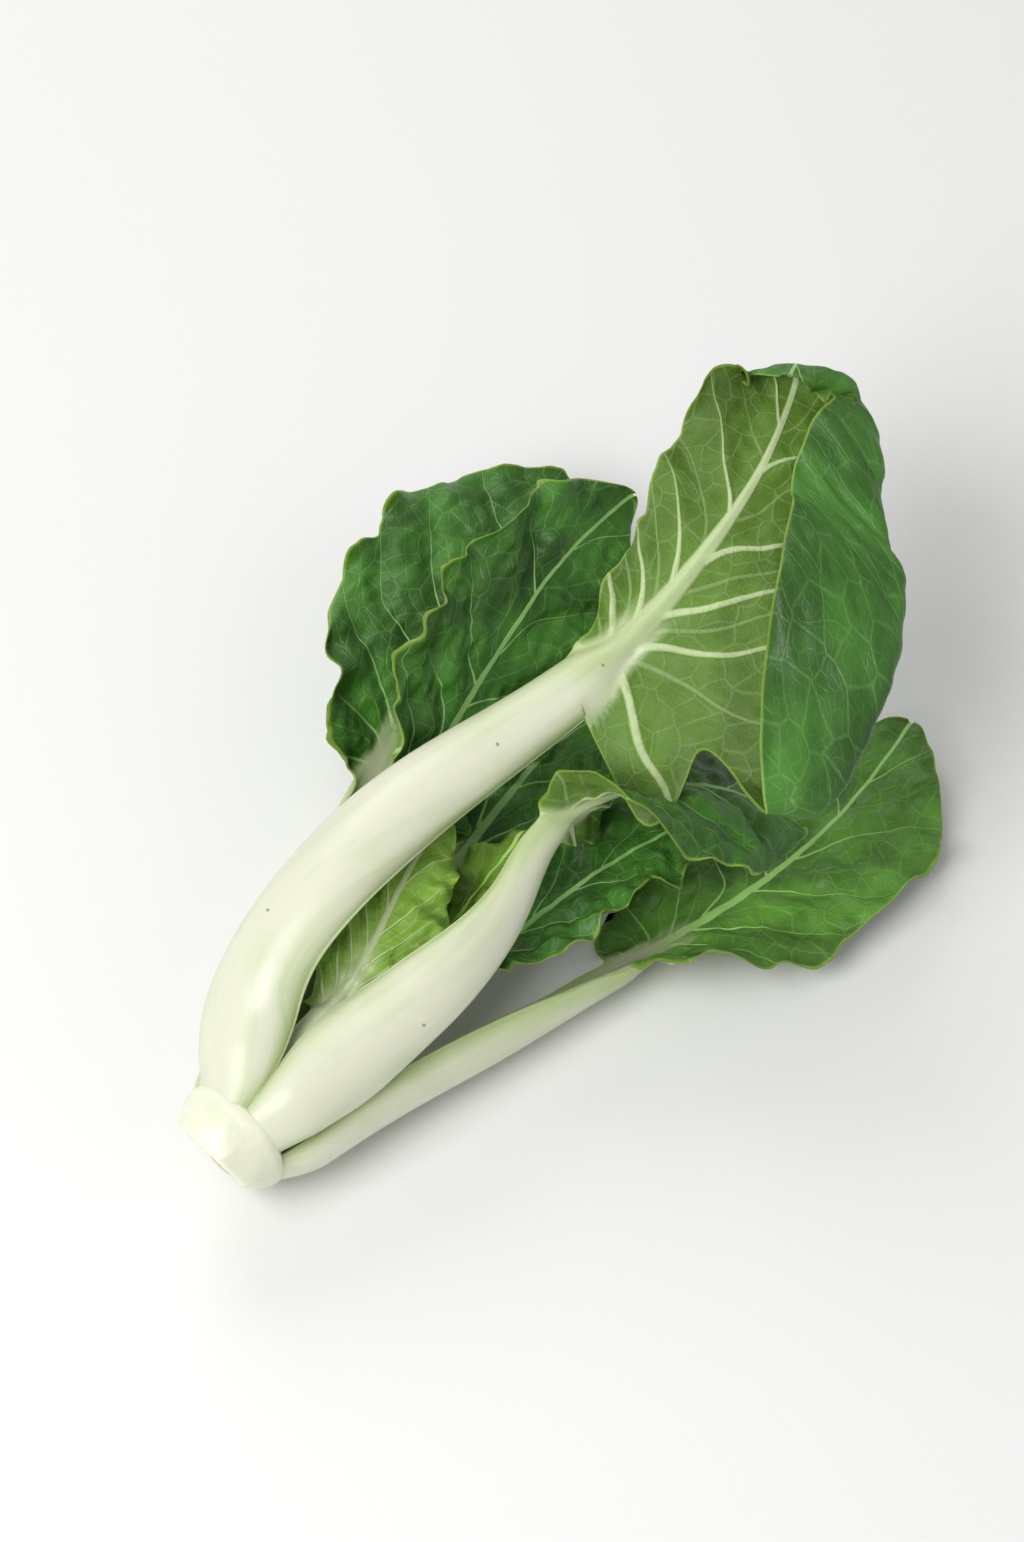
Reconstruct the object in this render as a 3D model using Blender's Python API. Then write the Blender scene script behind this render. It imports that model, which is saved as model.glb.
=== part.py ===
"""One head of white-stalked bok choy, as picked, lying on its side.

The head is a short trimmed stem with eleven leaves growing from it in three rings, and a bud in its
heart. Each leaf is one closed solid: a thick crescent-shaped stalk that thins and widens into a blade.
+X runs from the cut stem to the leaf tips, +Z is up, and the lowest leaves touch the plane z = 0.
Lengths are in millimetres and angles in degrees until the meshes are made, in metres.
"""
from dataclasses import dataclass

import bpy
import numpy as np

MM = 0.001
AXIS_HEIGHT = 18.0          # the stem's centre line above the surface that the head lies on
HEAD_MIDDLE = (2.4, 4.6, 0.5)   # the middle of the head's outline, at its lowest point: the origin
LAMINA = 1.1                # thickness of a blade between its veins
RIB_BASE, RIB_SLOPE = 0.8, 0.38   # the rib stands this much, and this share of its half-width, proud
FOOT_THIN = 0.25            # share of the rib's height left where a leaf joins the stem
FOOT_RUN = 9.0              # length over which the rib gains its full height
CUT_FACE, CUT_FADE = -100.0, -93.0    # the trimmed end, and where its slant has faded out, before slanting
CUT_BACK = 2.6              # how far the slanted cut moves the trimmed end towards the leaves
CUT_TILT, CUT_TURN = 0.36, 0.12   # slope of the cut: its top and its right side stand out
CROSS_STEPS = 32            # steps in which a cross-section is bent
MIDRIB_STEPS = 400

# Rings of leaves around the stem: where each starts along X, its radius there, and its radius further on.
OUTER_RING = (-91.7, 10.0, -84.5, 12.4)
MIDDLE_RING = (-89.0, 5.6, -83.0, 6.4)
INNER_RING = (-84.5, 3.0, -79.0, 3.4)

# Profiles turned about the stem's centre line: X and radius.
STEM_PROFILE = [(-100, 0), (-100, 8.7), (-99.2, 9.7), (-96, 11.2), (-93.2, 11.6), (-92.5, 11.2), (-92.2, 8.8),
                (-90, 7.9), (-89.3, 5.0), (-86, 4.0), (-85, 2.4), (-83.6, 1.6), (-83.4, 0)]
BUD_PROFILE = [(-83, 0), (-82.9, 0.8), (-79, 1.7), (-71, 2.0), (-61, 1.8), (-54, 1.0), (-52, 0)]

STALK_WHITE = (0.80, 0.84, 0.62)
LEAF_GREEN = (0.05, 0.16, 0.03)
HEART_GREEN = (0.24, 0.36, 0.07)


def inward(angle):
    """Direction from the given angle around the stem (0 is up, 90 is -Y) towards its centre line."""
    turn = np.radians(angle)
    return (0.0, np.sin(turn), -np.cos(turn))


def around_stem(x, radius, angle):
    """Point at a radius and angle around the stem's centre line."""
    turn = np.radians(angle)
    return (x, -radius * np.sin(turn), AXIS_HEIGHT + radius * np.cos(turn))


def oval_wing(joint, left, right, tip=-6.0, back=-8.0, rise=0.5, fall=0.42):
    """Rows of an oval blade: fraction along the leaf, half-widths left and right, sweep of the margin.

    The half-width goes as t^rise * (1 - t)^fall from the joint to the tip, scaled to its widest place.
    """
    widest = rise / (rise + fall)
    peak = widest**rise * (1 - widest)**fall
    rows = [(0.0, 0.0, 0.0, 0.0)]
    for t in (0.0, 0.06, 0.15, 0.3, 0.5, 0.7, 0.85, 0.95, 1.0):
        width = t**rise * (1 - t)**fall / peak
        if t > 0.9:
            width = max(width, 0.5)
        sweep = back * (1 - t)**2 * min(1.0, 12 * t) + tip * t**4
        rows.append((joint + t * (1 - joint), left * width, right * width, sweep))
    return rows


@dataclass
class Leaf:
    """One leaf, from its foot on the stem to its tip. Left and right are seen from its upper face."""
    name: str
    ring: tuple          # the ring it grows from
    angle: float         # its place around the stem
    path: list           # points of the midrib's upper side beyond the ring, then the way its face looks
    joint: float         # fraction of the length where the stalk becomes the blade
    stalk: list          # fraction along, half-width of the stalk
    wing: list           # fraction along, half-widths left and right, sweep of the margin
    curl: list           # fraction along, bend towards the upper face at the left and right margins
    ruffle: tuple        # height, waves and phase of the margin's ripple
    rows: int
    columns: int
    colour: tuple = LEAF_GREEN
    fold: tuple = ()     # rows of fraction along, angle, place on the left half; one fold at most
    fold_run: float = 11.0


def stations(table):
    """Columns of a table of rows, each as an array."""
    return [np.array(column, float) for column in zip(*table)]


def eased(at, values, where, window=0.04):
    """Straight lines through the values, rounded off by averaging over a short window."""
    offsets = np.linspace(-window, window, 9)
    return np.mean([np.interp(where + offset, at, values) for offset in offsets], axis=0)


def smoothstep(t):
    """0 below 0, 1 above 1, and 3t^2 - 2t^3 between."""
    t = np.clip(t, 0.0, 1.0)
    return t * t * (3 - 2 * t)


def spline(knots, values, at):
    """Natural cubic spline through the values at the knots."""
    count = len(knots)
    gap = np.diff(knots)
    slope = np.diff(values, axis=0) / gap[:, None]
    system = np.eye(count)
    target = np.zeros_like(values)
    for i in range(1, count - 1):
        system[i, i - 1:i + 2] = gap[i - 1], 2 * (gap[i - 1] + gap[i]), gap[i]
        target[i] = 6 * (slope[i] - slope[i - 1])
    bend = np.linalg.solve(system, target)
    i = np.clip(np.searchsorted(knots, at) - 1, 0, count - 2)
    step = (at - knots[i])[:, None]
    run = gap[i][:, None]
    return (values[i] + step * (slope[i] - run * (2 * bend[i] + bend[i + 1]) / 6)
            + step**2 * bend[i] / 2 + step**3 * (bend[i + 1] - bend[i]) / (6 * run))


def unit(vectors):
    return vectors / np.linalg.norm(vectors, axis=-1, keepdims=True)


class Midrib:
    """A leaf's middle line, evenly spaced, with its tangent, the way its face looks, and their cross."""

    def __init__(self, leaf):
        start_x, start_radius, next_x, next_radius = leaf.ring
        foot = [around_stem(start_x, start_radius, leaf.angle), around_stem(next_x, next_radius, leaf.angle)]
        points = np.array(foot + [row[:3] for row in leaf.path], float)
        faces = np.array([inward(leaf.angle)] * 2 + [row[3:] for row in leaf.path], float)
        knots = np.concatenate([[0], np.cumsum(np.linalg.norm(np.diff(points, axis=0), axis=1))])
        line = spline(knots, points, np.linspace(0, knots[-1], MIDRIB_STEPS))
        along = np.concatenate([[0], np.cumsum(np.linalg.norm(np.diff(line, axis=0), axis=1))])
        self.length = along[-1]
        self.distance = np.linspace(0, self.length, MIDRIB_STEPS)
        self.line = np.stack([np.interp(self.distance, along, line[:, k]) for k in range(3)], 1)
        share = self.distance / self.length
        looks = np.stack([eased(knots / knots[-1], unit(faces)[:, k], share, 0.05) for k in range(3)], 1)
        self.tangent = unit(np.gradient(self.line, axis=0))
        self.normal = unit(looks - (looks * self.tangent).sum(1)[:, None] * self.tangent)
        self.across = np.cross(self.tangent, self.normal)

    def at(self, distance):
        """Point, normal and across direction; straight on past either end."""
        inside = np.clip(distance, 0, self.length)

        def read(table):
            return np.stack([np.interp(inside, self.distance, table[:, k]) for k in range(3)], -1)

        point = read(self.line) + (distance - inside)[..., None] * read(self.tangent)
        return point, read(self.normal), read(self.across)


def rib_half_width(leaf, share):
    """The stalk's half-width up to the joint, then shrinking as (1 - t)^1.6 to a thin midrib."""
    t = np.clip((share - leaf.joint) / (1 - leaf.joint), 0, 1)
    return eased(*stations(leaf.stalk), share, 0.03) * (1 - t)**1.6 + 0.7 * t + 0.02


def leaf_surfaces(leaf):
    """Upper and lower sheets of a leaf as grids of points, rows along it and columns across it.

    The flat outline is u times the half-width across and a row along, which the sweep bends as the square
    of the distance from the midrib. Each row is then bent: its angle grows with the distance from the
    midrib by the curl, and turns over at the fold, and the steps of the bent row are summed. The lower
    sheet is one thickness below, thick at the rib.
    """
    k = np.linspace(0, 1, leaf.rows)
    share = 0.992 * (0.6 * k + 0.4 * np.sin(k * np.pi / 2))
    u = np.linspace(-1, 1, leaf.columns)[None, :]
    on_right = u > 0
    midrib = Midrib(leaf)

    wing_at, wing_left, wing_right, sweep = stations(leaf.wing)
    stalk = eased(*stations(leaf.stalk), share, 0.03) * (1 - smoothstep((share - leaf.joint) / 0.12))
    tip = np.clip((1 - share) / 0.1, 0, 1)
    rounding = np.sqrt(tip * (2 - tip))
    left = np.hypot(stalk, eased(wing_at, wing_left, share, 0.025) * rounding)
    right = np.hypot(stalk, eased(wing_at, wing_right, share, 0.025) * rounding)
    half = np.where(on_right, right[:, None], left[:, None])
    flat_x = u * half
    swept = (flat_x * (rounding / np.maximum(left, right))[:, None])**2
    flat_y = share[:, None] * midrib.length + eased(wing_at, sweep, share, 0.016)[:, None] * swept
    along = np.clip(flat_y / midrib.length, 0, 1)
    in_blade = along - leaf.joint

    curl_at, curl_left, curl_right = stations(leaf.curl)
    curl = np.where(on_right, eased(curl_at, curl_right, along), eased(curl_at, curl_left, along))
    part = np.abs(u)[..., None] * (np.arange(CROSS_STEPS) + 0.5) / CROSS_STEPS
    power = 1 + 0.35 * smoothstep(in_blade / 0.15)
    angle = np.radians(curl)[..., None] * part**power[..., None]
    if leaf.fold:
        fold_at, fold_angle, fold_place = stations(leaf.fold)
        turned = np.where(on_right, 0, np.radians(eased(fold_at, fold_angle, share, 0.02))[:, None])
        beyond = (part - eased(fold_at, fold_place, share, 0.02)[:, None, None]) * half[..., None]
        angle = angle + turned[..., None] * smoothstep(beyond / leaf.fold_run + 0.5)
    step = (np.abs(flat_x) / CROSS_STEPS)[..., None]
    run = (np.cos(angle) * step).sum(-1) * np.sign(u)
    lift = (np.sin(angle) * step).sum(-1)
    point, normal, across = midrib.at(flat_y)
    upper = point + run[..., None] * across + lift[..., None] * normal

    last = angle[..., -1][..., None]
    facing = np.cos(last) * normal - np.sign(u)[..., None] * np.sin(last) * across
    height, waves, phase = leaf.ruffle
    ripple = height * np.abs(u)**2.5 * np.sin(2 * np.pi * waves * along + phase + 1.7 * on_right)
    upper = upper + facing * (ripple * smoothstep(in_blade / 0.12))[..., None]

    rib = rib_half_width(leaf, along)
    fullness = 0.75 + 1.2 * smoothstep((in_blade + 0.05) / 0.2)
    rib_height = (RIB_BASE + RIB_SLOPE * rib) * smoothstep(rib / 3)
    rib_height *= FOOT_THIN + (1 - FOOT_THIN) * smoothstep(along * midrib.length / FOOT_RUN)
    crown = np.clip(1 - (flat_x / rib)**2, 0, 1)**fullness
    thickness = LAMINA * (1 - 0.25 * np.abs(u)**6) + rib_height * crown

    out = unit(np.cross(np.gradient(upper, axis=0), np.gradient(upper, axis=1)))
    out *= np.where((out * facing).sum(-1, keepdims=True) < 0, -1, 1)
    return upper, upper - out * thickness[..., None]


def sheet_solid(upper, lower):
    """Vertices and quads of the closed solid between two grids of the same size."""
    rows, columns = upper.shape[:2]
    index = np.arange(rows * columns).reshape(rows, columns)
    corner, ahead = index[:-1, :-1], index[1:, :-1]
    ahead_right, beside = index[1:, 1:], index[:-1, 1:]
    top = np.stack([corner, beside, ahead_right, ahead], -1).reshape(-1, 4)
    bottom = top[:, ::-1] + rows * columns
    rim = np.concatenate([index[0, :], index[1:, -1], index[-1, -2::-1], index[-2:0:-1, 0]])
    following = np.roll(rim, -1)
    wall = np.stack([rim, rim + rows * columns, following + rows * columns, following], -1)
    points = np.concatenate([upper.reshape(-1, 3), lower.reshape(-1, 3)])
    return points, np.concatenate([top, bottom, wall]).tolist()


def turned_solid(profile, sides):
    """Vertices and faces of a profile turned about the stem's centre line, closed at both ends."""
    profile = np.array(profile, float)
    turn = np.linspace(0, 2 * np.pi, sides, endpoint=False)
    x, radius = profile[1:-1, :1], profile[1:-1, 1:]
    ring = np.stack([x + 0 * turn, -radius * np.sin(turn), AXIS_HEIGHT + radius * np.cos(turn)], -1)
    ends = [(profile[0, 0], 0, AXIS_HEIGHT), (profile[-1, 0], 0, AXIS_HEIGHT)]
    points = np.concatenate([ring.reshape(-1, 3), ends])
    index = np.arange(ring.shape[0] * sides).reshape(-1, sides)
    after = np.roll(index, -1, axis=1)
    quads = np.stack([index[:-1], after[:-1], after[1:], index[1:]], -1).reshape(-1, 4).tolist()
    first, last = len(points) - 2, len(points) - 1
    quads += [(first, int(b), int(a)) for a, b in zip(index[0], after[0])]
    quads += [(last, int(a), int(b)) for a, b in zip(index[-1], after[-1])]
    return points, quads


def slanted(points):
    """Points of the stem moved along it so that its end is cut at a slant."""
    share = np.clip((CUT_FADE - points[:, 0]) / (CUT_FADE - CUT_FACE), 0, 1)
    shift = CUT_BACK - CUT_TILT * (points[:, 2] - AXIS_HEIGHT) + CUT_TURN * points[:, 1]
    return points + np.stack([share * shift, 0 * share, 0 * share], -1)


def plain_material(name, colour, roughness):
    material = bpy.data.materials.new(name)
    material.use_nodes = True
    shader = material.node_tree.nodes["Principled BSDF"]
    shader.inputs["Base Color"].default_value = (*colour, 1)
    shader.inputs["Roughness"].default_value = roughness
    shader.inputs["Metallic"].default_value = 0.0
    return material


def add_piece(name, points, faces, colour, roughness, head):
    """A named object whose origin is its own first point, parented to the head's empty."""
    foot = points[0]
    mesh = bpy.data.meshes.new(name)
    mesh.from_pydata(((points - foot) * MM).tolist(), [], faces)
    mesh.materials.append(plain_material(name, colour, roughness))
    mesh.shade_smooth()
    mesh.set_sharp_from_angle(angle=np.radians(50))
    piece = bpy.data.objects.new(name, mesh)
    piece.location = foot * MM
    piece.parent = head
    bpy.context.scene.collection.objects.link(piece)


OUTER_CURL = [(0, 38, 38), (0.15, 46, 46), (0.35, 40, 40), (0.55, 20, 20)]
MIDDLE_STALK = [(0, 3.6), (0.1, 4.5), (0.3, 5.2), (0.42, 4.2), (0.7, 3), (1, 1.5)]
MIDDLE_CURL = [(0, 38, 38), (0.2, 44, 44), (0.45, 30, 30), (0.6, 10, 10)]
INNER_STALK = [(0, 2.0), (0.2, 2.6), (0.5, 2.4), (1, 1)]
INNER_CURL = [(0, 40, 40), (0.4, 45, 45), (0.6, 35, 35), (1, 25, 25)]

LEAVES = [
    # The tall leaf: its stalk bows up and over, its blade turns its back up, and the left half of the
    # blade is folded over onto that back.
    Leaf("outer_leaf_top", OUTER_RING, -29,
         path=[(-73, 12.4, 31.2, 0, -0.65, -0.76), (-50, 16.5, 41, 0, -0.55, -0.83),
               (-16, 11.5, 49, 0.1, 0.1, -1), (29, 0, 57, 0.25, 0.1, -0.95), (55, -3, 68, 0.2, 0.2, -0.95),
               (78, 1, 69, 0.1, 0.2, -0.95), (94, 6.5, 69, 0.2, 0.2, -0.95), (101.5, 9.5, 72, 0.85, 0.45, -0.25),
               (101, 9.3, 77.5, 0.8, 0.3, 0.5), (95.5, 7, 80.5, -0.1, 0, 1)],
         joint=0.567,
         stalk=[(0, 6.4), (0.058, 10.2), (0.126, 13.3), (0.213, 12.6), (0.35, 9.8), (0.484, 7.4), (0.58, 6.2),
                (0.73, 4.8), (1, 2)],
         wing=[(0, 0, 0, 0), (0.55, 0, 0, 0), (0.557, 18, 0, -8), (0.565, 29, 1, -13), (0.578, 34, 3, -13),
               (0.594, 32, 6, -9), (0.61, 27, 8, -5), (0.623, 28, 9, -5), (0.637, 37, 11, -9),
               (0.651, 58, 13, -15), (0.669, 71, 14, -15), (0.69, 76, 15, -12), (0.72, 77, 16, -8),
               (0.755, 75, 18, -4), (0.79, 67, 19, 0), (0.825, 52, 19, 0), (0.87, 44, 20, -1),
               (0.905, 36, 20, -3), (0.935, 27, 17, -4), (1, 14, 11, -5)],
         curl=[(0, 40, 40), (0.126, 48, 48), (0.29, 46, 46), (0.532, 24, 35), (0.62, -18, 10), (0.774, -20, 35),
               (0.85, -18, 15), (0.9, -15, -20), (1, -10, -30)],
         fold=((0, 0, 0.9), (0.63, 0, 0.95), (0.651, -120, 0.9), (0.669, -160, 0.82), (0.69, -160, 0.73),
               (0.72, -160, 0.65), (0.761, -160, 0.59), (0.82, -160, 0.56), (0.87, -155, 0.56),
               (0.9, -140, 0.56), (0.94, -100, 0.6), (1, -70, 0.62)),
         ruffle=(0.9, 7, 0.5), rows=36, columns=17),
    # The narrow-necked leaf beside it, whose blade tips over and hangs to the right.
    Leaf("outer_leaf_right", OUTER_RING, 43,
         path=[(-68, -10.5, 29, 0, 0.63, -0.78), (-43, -15.5, 34.5, 0, 0.83, -0.56),
               (-20, -14, 37, 0, 0.88, -0.47), (-6, -11, 41, 0, 0.7, -0.5), (6, -14, 43.5, -0.2, 0.8, 0.1),
               (20, -23, 42.5, 0.2, 0.2, 0.9), (33, -33, 33, 0.5, -0.2, 0.8), (43, -41, 18, 0.6, -0.3, 0.6)],
         joint=0.585,
         stalk=[(0, 5.2), (0.07, 7.6), (0.16, 10.4), (0.32, 8.9), (0.5, 4.9), (0.6, 3.6), (0.7, 3), (1, 2)],
         wing=oval_wing(0.585, 22, 22, back=-4),
         curl=[(0, 38, 38), (0.15, 46, 46), (0.35, 42, 42), (0.55, 25, 25), (0.7, -30, -30), (1, -30, -30)],
         ruffle=(1.5, 6, 0), rows=26, columns=11),
    # Three leaves that lie on the surface: one under the head and one on each side.
    Leaf("outer_leaf_under", OUTER_RING, 181,
         path=[(-70, -1, 5.8, 0, 0.1, 1), (-40, 4, 5.8, 0, 0, 1), (-5, 10, 6.2, 0, 0, 1),
               (30, 18, 5.4, 0, 0, 1), (62, 24, 4.6, 0, 0, 1), (90, 28, 5.6, 0, 0, 1)],
         joint=0.5,
         stalk=[(0, 5.8), (0.07, 7.2), (0.16, 8.8), (0.35, 8.8), (0.5, 6.5), (0.7, 5), (1, 2)],
         wing=oval_wing(0.5, 30, 30), curl=OUTER_CURL + [(0.7, 8, 8), (1, 12, 12)],
         ruffle=(1.0, 5, 1), rows=24, columns=11),
    Leaf("outer_leaf_left", OUTER_RING, -106,
         path=[(-70, 14, 13.6, 0, -0.92, 0.39), (-42, 24.5, 8.8, 0, -0.88, 0.47),
               (-8, 35.5, 14.2, 0, -0.77, 0.64), (28, 45.5, 22, 0, -0.35, 0.92), (60, 50.5, 22, 0, -0.25, 0.96),
               (84, 53, 17, 0.2, -0.2, 0.95)],
         joint=0.5,
         stalk=[(0, 4.9), (0.07, 6.2), (0.16, 7.5), (0.35, 7.5), (0.5, 5), (0.7, 4), (1, 2)],
         wing=oval_wing(0.5, 27, 25), curl=OUTER_CURL + [(0.7, -8, 18), (1, 10, 15)],
         ruffle=(1.8, 5, 2), rows=24, columns=11),
    Leaf("outer_leaf_low_right", OUTER_RING, 111.5,
         path=[(-70, -14.2, 13.2, 0, 0.95, 0.31), (-42, -21, 11.5, 0, 0.95, 0.31),
               (-10, -29, 9.2, 0, 0.79, 0.62), (25, -38, 7.4, 0, 0.2, 0.98), (58, -41, 6.6, 0, 0.15, 0.98),
               (86, -38, 6.6, 0.1, 0.1, 0.98)],
         joint=0.5,
         stalk=[(0, 4.9), (0.07, 6.2), (0.16, 7.5), (0.35, 7.5), (0.5, 5), (0.7, 4), (1, 2)],
         wing=oval_wing(0.5, 25, 25), curl=OUTER_CURL + [(0.7, 8, -12), (1, 10, -5)],
         ruffle=(1.6, 5, 0.7), rows=24, columns=11),
    # The middle ring. The front one is the bright leaf in the gap between the two raised stalks.
    Leaf("middle_leaf_front", MIDDLE_RING, 2,
         path=[(-68, 0, 26, 0, 0, -1), (-52, 1, 30, 0.25, 0.1, -1), (-38, 4, 34, 0.3, 0.1, -1),
               (-26, 7, 37, 0.3, 0.1, -1), (-14, 9, 39, 0.2, 0.1, -1)],
         joint=0.36,
         stalk=[(0, 3.6), (0.2, 4.4), (0.36, 3.4), (0.7, 2), (1, 1)],
         wing=oval_wing(0.36, 12, 12, tip=-3, back=-3),
         curl=[(0, 38, 38), (0.3, 30, 30), (0.45, 15, 15), (1, 25, 25)],
         ruffle=(1.5, 7, 0), rows=18, columns=9, colour=HEART_GREEN),
    Leaf("middle_leaf_right", MIDDLE_RING, 88,
         path=[(-68, -8.8, 18.2, 0, 1, -0.03), (-44, -10.5, 18, 0, 0.97, 0.26), (-18, -14.5, 22.8, 0, 0.35, 0.92),
               (8, -20, 25.5, 0, 0.2, 0.95), (30, -27, 25.5, 0, 0.1, 0.95)],
         joint=0.42, stalk=MIDDLE_STALK, wing=oval_wing(0.44, 16, 14, tip=-4, back=-3),
         curl=MIDDLE_CURL + [(1, 20, 20)], ruffle=(1.5, 6, 1), rows=18, columns=9),
    Leaf("middle_leaf_under", MIDDLE_RING, 178,
         path=[(-66, 1.5, 11.5, 0, 0, 1), (-40, 5, 12.5, 0, 0, 1), (-8, 10, 15.5, 0, 0, 1),
               (25, 12, 20, 0, 0, 1), (52, 11, 24, 0, 0, 1), (70, 9, 24, 0.2, 0, 1)],
         joint=0.42, stalk=MIDDLE_STALK, wing=oval_wing(0.42, 24, 18, back=-6),
         curl=MIDDLE_CURL + [(1, 12, 12)], ruffle=(1.6, 5, 1), rows=20, columns=9),
    Leaf("middle_leaf_left", MIDDLE_RING, -86,
         path=[(-66, 9.5, 19, 0, -1, 0.07), (-40, 15, 23, 0, -1, 0), (-10, 21, 31, 0, -0.85, 0.4),
               (25, 27, 40, 0, -0.8, 0.6), (52, 29, 47, 0, -0.75, 0.65), (70, 28, 48, 0.1, -0.75, 0.65)],
         joint=0.42, stalk=MIDDLE_STALK, wing=oval_wing(0.42, 22, 22, back=-6),
         curl=MIDDLE_CURL + [(1, 10, 10)], ruffle=(1.6, 6, 1), rows=20, columns=9),
    # Two small leaves that curl around the bud.
    Leaf("inner_leaf_low", INNER_RING, 130,
         path=[(-62, -3.0, 17.2, 0, 0.77, 0.64), (-40, -3, 19.5, 0, 0.71, 0.71), (-18, -2, 24, 0, 0.5, 0.87),
               (0, -1, 27, 0, 0.5, 0.87)],
         joint=0.4, stalk=INNER_STALK, wing=oval_wing(0.4, 9, 9, tip=-2, back=-2), curl=INNER_CURL,
         ruffle=(1.0, 6, 0), rows=14, columns=7, colour=HEART_GREEN),
    Leaf("inner_leaf_high", INNER_RING, -50,
         path=[(-64, 3.2, 20.5, 0, -0.77, -0.64), (-44, 6, 24, 0, -0.87, -0.5), (-22, 11, 27.5, 0, -0.98, -0.17),
               (-3, 14.5, 32, 0, -0.98, 0.17)],
         joint=0.4, stalk=INNER_STALK, wing=oval_wing(0.4, 9, 9, tip=-2, back=-2), curl=INNER_CURL,
         ruffle=(1.0, 6, 0), rows=14, columns=7, colour=HEART_GREEN),
]


def main():
    for old in list(bpy.data.objects):
        bpy.data.objects.remove(old)
    head = bpy.data.objects.new("head", None)
    head.location = [-middle * MM for middle in HEAD_MIDDLE]
    bpy.context.scene.collection.objects.link(head)
    points, faces = turned_solid(STEM_PROFILE, 24)
    add_piece("stem_base", slanted(points), faces, STALK_WHITE, 0.4, head)
    add_piece("heart_bud", *turned_solid(BUD_PROFILE, 12), HEART_GREEN, 0.5, head)
    for leaf in LEAVES:
        add_piece(leaf.name, *sheet_solid(*leaf_surfaces(leaf)), leaf.colour, 0.45, head)
    bpy.context.view_layer.update()


main()
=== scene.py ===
"""Looks for one head of white-stalked bok choy, as picked, lying on its side.

The head has a short trimmed stem, eleven leaves in three rings and a bud in its heart. Every leaf is one
closed sheet, thick and white in its stalk and thin, veined and puckered in its blade. Each of them takes
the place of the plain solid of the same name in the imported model.

Leaf measures are in millimetres and degrees, counted from the stem: X runs from the cut stem to the leaf
tips, Z is up. They become metres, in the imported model's frame, when a mesh is made.
"""

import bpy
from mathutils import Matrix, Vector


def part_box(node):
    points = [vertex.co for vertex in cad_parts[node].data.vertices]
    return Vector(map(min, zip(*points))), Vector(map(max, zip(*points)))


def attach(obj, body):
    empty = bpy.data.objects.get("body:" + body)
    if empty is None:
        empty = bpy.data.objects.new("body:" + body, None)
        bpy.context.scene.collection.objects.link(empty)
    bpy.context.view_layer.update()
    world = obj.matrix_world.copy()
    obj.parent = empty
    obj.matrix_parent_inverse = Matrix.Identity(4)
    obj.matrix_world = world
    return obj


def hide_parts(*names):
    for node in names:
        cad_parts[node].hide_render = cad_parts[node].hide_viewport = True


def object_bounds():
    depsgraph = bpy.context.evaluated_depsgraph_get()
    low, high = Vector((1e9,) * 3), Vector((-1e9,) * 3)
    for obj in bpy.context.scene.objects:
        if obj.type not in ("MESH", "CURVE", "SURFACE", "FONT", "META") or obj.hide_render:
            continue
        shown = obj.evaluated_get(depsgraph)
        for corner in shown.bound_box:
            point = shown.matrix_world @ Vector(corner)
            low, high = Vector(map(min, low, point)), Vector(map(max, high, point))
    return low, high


bl_info = {
    "name": "Bok choy head",
    "version": (1, 0, 0),
    "blender": (4, 5, 0),
    "location": "View3D > Sidebar > Bok choy",
    "description": "One head of bok choy on its side, built leaf by leaf, with its stage",
    "category": "Add Mesh",
}

from dataclasses import dataclass

import bpy
import numpy as np
from mathutils import Vector

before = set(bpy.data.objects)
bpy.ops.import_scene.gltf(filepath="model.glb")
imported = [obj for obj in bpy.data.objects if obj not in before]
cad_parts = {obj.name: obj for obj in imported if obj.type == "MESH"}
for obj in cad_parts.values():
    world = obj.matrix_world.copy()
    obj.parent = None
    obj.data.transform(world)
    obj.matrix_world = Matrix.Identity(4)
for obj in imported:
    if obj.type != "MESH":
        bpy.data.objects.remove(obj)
CAD_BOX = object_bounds()
MM = 0.001
PATTERN_SPAN = 100.0        # millimetres of leaf in one unit of the pattern's UV map
LOWER_SHIFT = (3.0, 0.0)    # moves the lower sheet's pattern, so that it differs from the upper one's
FLOOR_GAP = 0.05            # millimetres that a leaf stays above the floor

# The stem's centre line and its end inside the head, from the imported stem, place everything else.
AXIS_HEIGHT = 18.0
STEM_END = -83.4
stem_low, stem_high = (np.array(corner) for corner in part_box("stem_base"))
ORIGIN = np.array([stem_high[0] - STEM_END * MM, (stem_low[1] + stem_high[1]) / 2,
                   (stem_low[2] + stem_high[2]) / 2 - AXIS_HEIGHT * MM])

# The slanted cut at the stem's other end.
CUT_FACE, CUT_FADE = -100.0, -93.0    # the trimmed end, and where its slant has faded out, before slanting
CUT_BACK = 2.6              # how far the slanted cut moves the trimmed end towards the leaves
CUT_TILT, CUT_TURN = 0.36, 0.12   # slope of the cut: its top and its right side stand out
CUT_RIM = 0.9               # how far from the cut its colour ends

# How the stalks and midribs thicken.
STALK_EDGE = 1.1            # thickness at a stalk's margins
RIB_BASE, RIB_SLOPE = 0.8, 0.38   # the rib stands this much, and this share of its half-width, proud
FOOT_RUN = 16.0             # length over which the rib gains its full height

# How finely a leaf is worked out, in steps and millimetres.
MIDRIB_STEPS = 600
CROSS_STEPS = 32            # steps in which a cross-section is bent
LAST_ROW, ROW_CROWD = 0.9998, 1.3     # the last row's place along the leaf; above 1, rows crowd towards it
NUDGE = 0.1                 # step over which the slope of the veins' phase is measured

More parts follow.
